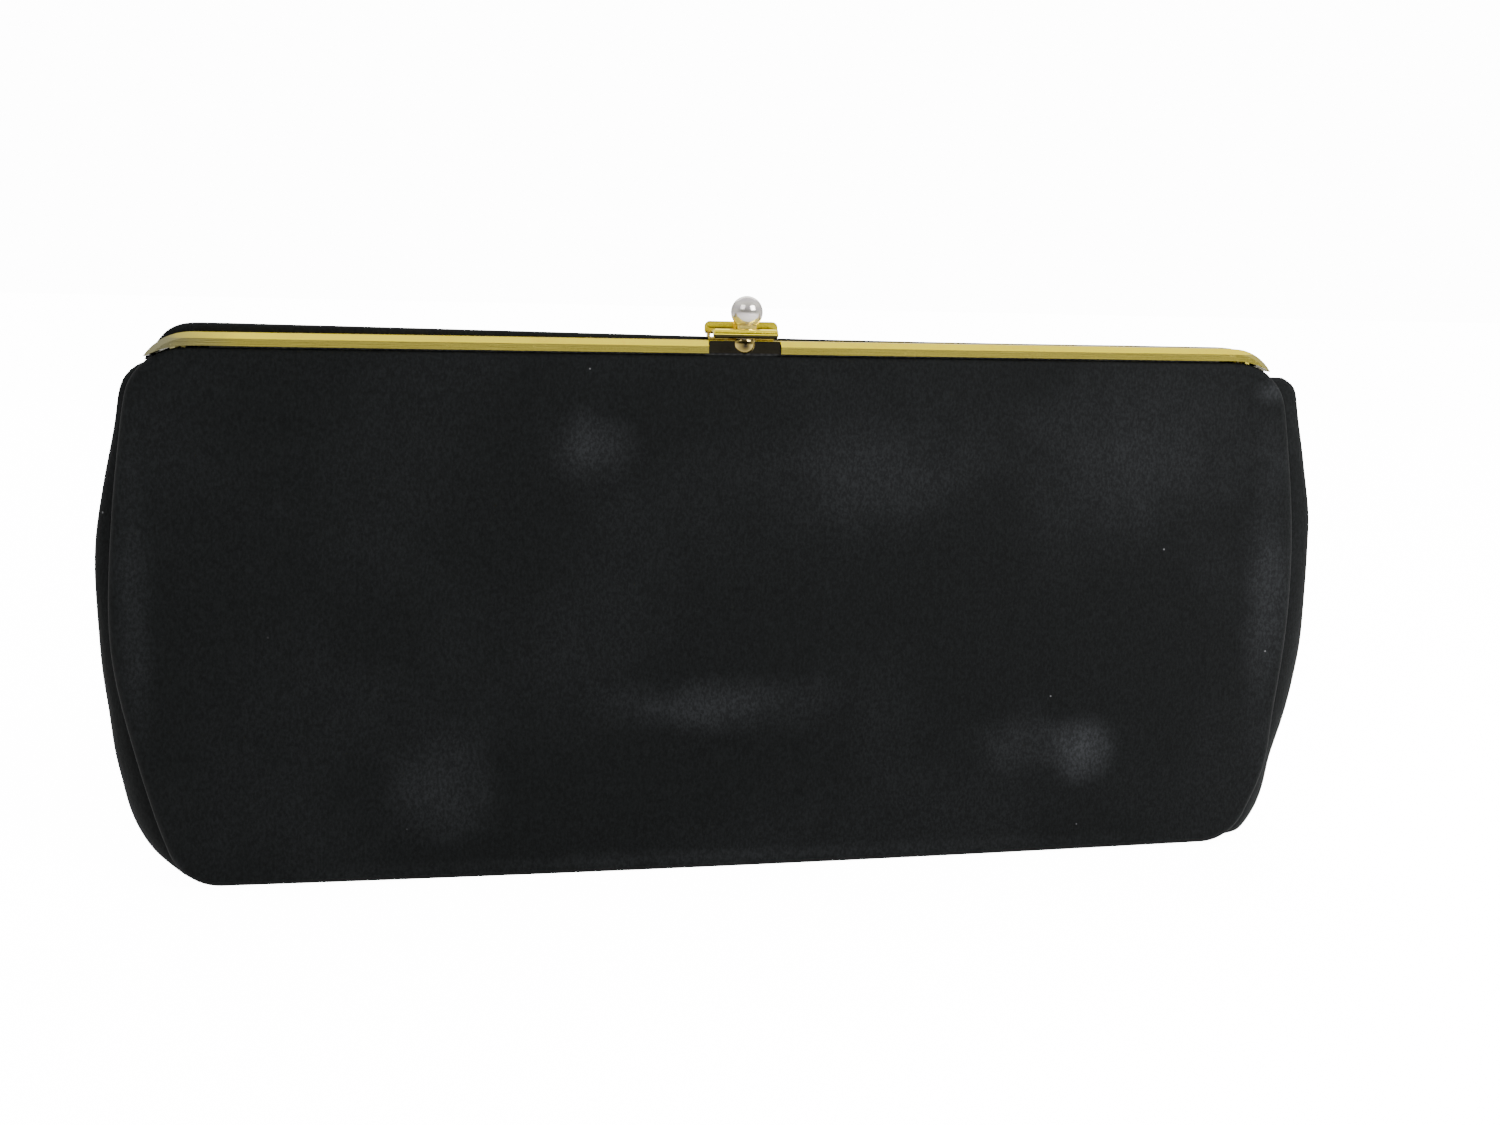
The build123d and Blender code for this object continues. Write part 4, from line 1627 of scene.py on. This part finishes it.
@dataclass
class BackSleeve:
    """Fabric that wraps the back bar and runs down onto the back panel.

    Its section is given past the bar's rear face and off the bar's top, from the inside round.
    """

    corner_radius: float = 11.6 * MM
    corner_x: float = 115.0 * MM
    corner_steps: int = 8
    bar_steps: int = 64
    turn: float = 62.0
    gap: float = 7.5 * MM
    left_rise: float = 1.9 * MM
    right_rise: float = 0.12 * MM
    ripple: float = 0.08 * MM
    thin_end: float = 0.16
    thickness: float = 0.35 * MM
    behind: tuple[Point, ...] = (
        (0.55 * MM, -0.35 * MM), (0.8 * MM, -1.4 * MM), (0.75 * MM, -2.8 * MM),
        (0.5 * MM, -4.0 * MM), (0.55 * MM, -6.0 * MM), (0.3 * MM, -8.6 * MM),
    )

    def path(self) -> list[tuple[Vector, Vector]]:
        """Lays out the sleeve's run over the bar's top.

        Returns:
            Points along the top, each with its outward direction.
        """
        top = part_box("back_frame")[1].z
        centre = Vector((-self.corner_x, 0, top - self.corner_radius))
        left = []
        for angle in spaced(-self.turn, 0, self.corner_steps):
            a = math.radians(angle)
            out = Vector((math.sin(a), 0, math.cos(a)))
            left.append((centre + out * self.corner_radius, out))
        along = spaced(-self.corner_x, self.corner_x, self.bar_steps)[1:-1]
        straight = [(Vector((x, 0, top)), Vector((0, 0, 1))) for x in along]
        right = [(Vector((-p.x, 0, p.z)), Vector((-o.x, 0, o.z))) for p, o in reversed(left)]
        return left + straight + right

    def build(self) -> bpy.types.Object:
        """Sweeps the sleeve's section along the bar.

        Returns:
            The sleeve.
        """
        bar_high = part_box("back_frame")[1]
        rear = bar_high.y
        stations = self.path()
        points = []
        for place, out in stations:
            share = (place.x + self.corner_x) / (2 * self.corner_x)
            rise = self.left_rise + (self.right_rise - self.left_rise) * smooth(-0.15, 0.8, share)
            fullness = self.thin_end + (1 - self.thin_end) * smooth(0.7, 0.985, out.z)
            top = rise + self.ripple * uneven(place.x, 0, waves=(60, 60), seed=1.0)
            section = [
                (0.45 * MM, -0.5 * MM), (0.42 * MM, rise * 0.7), (0.9 * MM, top),
                (rear - 1.2 * MM, top), (rear - 0.1 * MM, rise * 0.8),
                *((rear + y, r) for y, r in self.behind),
            ]
            for y, r in section:
                points.append(place + out * r * fullness + Vector((0, y, 0)))
        faces = sheet_faces(len(stations), len(points) // len(stations))
        sleeve = mesh_object("back_bar_sleeve", points, faces)
        drop_faces(sleeve, lambda p: abs(p.x) < self.gap and p.z > bar_high.z - 2.0 * MM)
        recalculate(sleeve)
        thicken(sleeve, self.thickness, 1)
        return sleeve

    def dress(self, finishes: Finishes) -> None:
        """Builds the sleeve and gives it its fabric.

        Args:
            finishes: The purse's materials.
        """
        sleeve = self.build()
        sleeve.data.materials.append(finishes.crepe)
        hinge = joint_point("back_frame_hinge")
        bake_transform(sleeve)
        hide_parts("back_frame_cover")
        LOG.info("piece %s", sleeve.name)


# ---------------------------------------------------------------- rigid parts


class Metalwork:
    """Finishes of the frame, the clasp and the inner pieces that come from the frame as they are."""

    def dress(self, finishes: Finishes) -> None:
        """Assigns a finish to each carried-over node.

        Args:
            finishes: The purse's materials.
        """
        plan = {
            finishes.bar: ("front_frame", "back_frame", "hinge_rivet_left", "hinge_rivet_right"),
            finishes.clasp: ("clasp_flap",),
            finishes.fitting: (
                "clasp_bracket", "clasp_bracket_rivets", "clasp_pin", "pearl_cup", "pearl_post",
            ),
            finishes.stud: ("catch_stud",),
            finishes.mirror: ("catch_plate",),
            finishes.pearl: ("pearl",),
            finishes.board: ("front_board", "back_board", "base_board"),
            finishes.tape: ("front_channel_cord", "back_channel_cord"),
        }
        for material, names in plan.items():
            for name in names:
                node = frame["nodes"][name]
                node.data.materials.clear()
                node.data.materials.append(material)
                LOG.info("finish %s on %s", material.name, name)


# ---------------------------------------------------------------- studio


@dataclass(frozen=True)
class Lamp:
    """Soft area light: its place and size in metres and its power in watts."""

    name: str
    place: Place
    size: Point
    power: float

    def build(self, aim: Vector) -> None:
        """Adds the light to the scene.

        Args:
            aim: Point that it faces.
        """
        data = bpy.data.lights.new(self.name, "AREA")
        data.shape = "RECTANGLE"
        data.size, data.size_y = self.size
        data.energy = self.power
        lamp = bpy.data.objects.new(self.name, data)
        lamp.location = self.place
        lamp.rotation_euler = (aim - Vector(self.place)).to_track_quat("-Z", "Y").to_euler()
        bpy.context.scene.collection.objects.link(lamp)


@dataclass
class Studio:
    """Pale floor and backdrop, soft lights and the camera."""

    lens: float = 35.0
    place: Vector = field(default_factory=lambda: Vector((-53.8, -320.9, 129.8)) * MM)
    yaw: float = 10.04
    pitch: float = -10.78
    roll: float = 1.34
    background: float = 14.0
    floor_glow: float = 14.0
    room_front: float = 0.05
    room_back: float = 0.95
    room_top: float = 0.5
    reach: float = 8.0
    aim: Place = (0.0, 0.0, 0.06)
    lamps: tuple[Lamp, ...] = (
        Lamp("key", place=(0.42, -0.5, 0.5), size=(0.4, 0.4), power=10.5),
        Lamp("fill", place=(-0.6, -0.6, 0.75), size=(0.55, 0.55), power=4.0),
        Lamp("back", place=(0.1, 1.0, 0.9), size=(1.4, 0.7), power=8.0),
    )

    def floor(self) -> None:
        """Wide white floor, bright enough to run into the background."""
        corners = ((-1, -1), (1, -1), (1, 1), (-1, 1))
        points = [Vector((x * self.reach, y * self.reach, 0)) for x, y in corners]
        sheet = mesh_object("studio_floor", points, [(0, 1, 2, 3)])
        material, n, shader = start_material("studio_paper")
        grain = n.add("ShaderNodeTexNoise", {"Vector": object_place(n), "Scale": 900.0, "Detail": 3.0})
        white = n.mix(grain.outputs["Fac"], (0.93, 0.93, 0.925, 1), (0.96, 0.96, 0.955, 1))
        n.tree.links.new(white, shader.inputs["Base Color"])
        seen = n.add("ShaderNodeLightPath").outputs["Is Camera Ray"]
        n.tree.links.new(n.math("MULTIPLY", seen, self.floor_glow), shader.inputs["Emission Strength"])
        shader.inputs["Emission Color"].default_value = (1, 1, 1, 1)
        shader.inputs["Roughness"].default_value = 0.9
        sheet.data.materials.append(material)

    def surroundings(self) -> None:
        """White background, seen in the metal as a bright room that is darker in front."""
        world = bpy.data.worlds.new("studio")
        bpy.context.scene.world = world
        world.use_nodes = True
        n = Nodes(world.node_tree)
        background = world.node_tree.nodes["Background"]
        background.inputs["Color"].default_value = (1.0, 1.0, 1.0, 1)
        way = n.add("ShaderNodeTexCoord").outputs["Generated"]
        parts = n.add("ShaderNodeSeparateXYZ", {0: way})
        behind = n.ramp(
            parts.outputs["Y"], low=-0.95, high=0.2, start=self.room_front, end=self.room_back
        )
        above = n.ramp(parts.outputs["Z"], low=0.1, high=0.8, start=0.0, end=self.room_top)
        room = n.math("ADD", behind, above)
        seen = n.add("ShaderNodeLightPath").outputs["Is Camera Ray"]
        bare = n.math("MULTIPLY", room, n.math("SUBTRACT", 1.0, seen))
        strength = n.math("ADD", bare, n.math("MULTIPLY", seen, self.background))
        n.tree.links.new(strength, background.inputs["Strength"])

    def camera(self) -> None:
        """Camera at its viewing angle."""
        data = bpy.data.cameras.new("camera")
        data.lens = self.lens
        data.clip_start = 0.01
        camera = bpy.data.objects.new("camera", data)
        yaw, pitch, roll = (math.radians(a) for a in (self.yaw, self.pitch, self.roll))
        level = Vector((math.sin(yaw), math.cos(yaw), 0)) * math.cos(pitch)
        forward = level + Vector((0, 0, math.sin(pitch)))
        turn = forward.to_track_quat("-Z", "Y").to_matrix() @ Matrix.Rotation(roll, 3, "Z")
        camera.matrix_world = Matrix.Translation(self.place) @ turn.to_4x4()
        bpy.context.scene.collection.objects.link(camera)
        bpy.context.scene.camera = camera

    def build(self) -> None:
        """Sets up the studio."""
        self.floor()
        for lamp in self.lamps:
            lamp.build(Vector(self.aim))
        self.surroundings()
        self.camera()


def main() -> None:
    """Builds every sub-assembly in order."""
    logging.basicConfig(level=logging.INFO, format="%(name)s: %(message)s")
    Studio().build()
    finishes = Finishes()
    shape = PanelShape()
    panels = {half: Panel(half, shape) for half in Half}
    for panel in panels.values():
        panel.dress(finishes)
    Pocket(panels[Half.BACK]).dress(finishes)
    for side in Side:
        Gusset(side, shape).dress(finishes)
    Base().dress(finishes)
    BackSleeve().dress(finishes)
    Metalwork().dress(finishes)


if __name__ == "__main__":
    main()
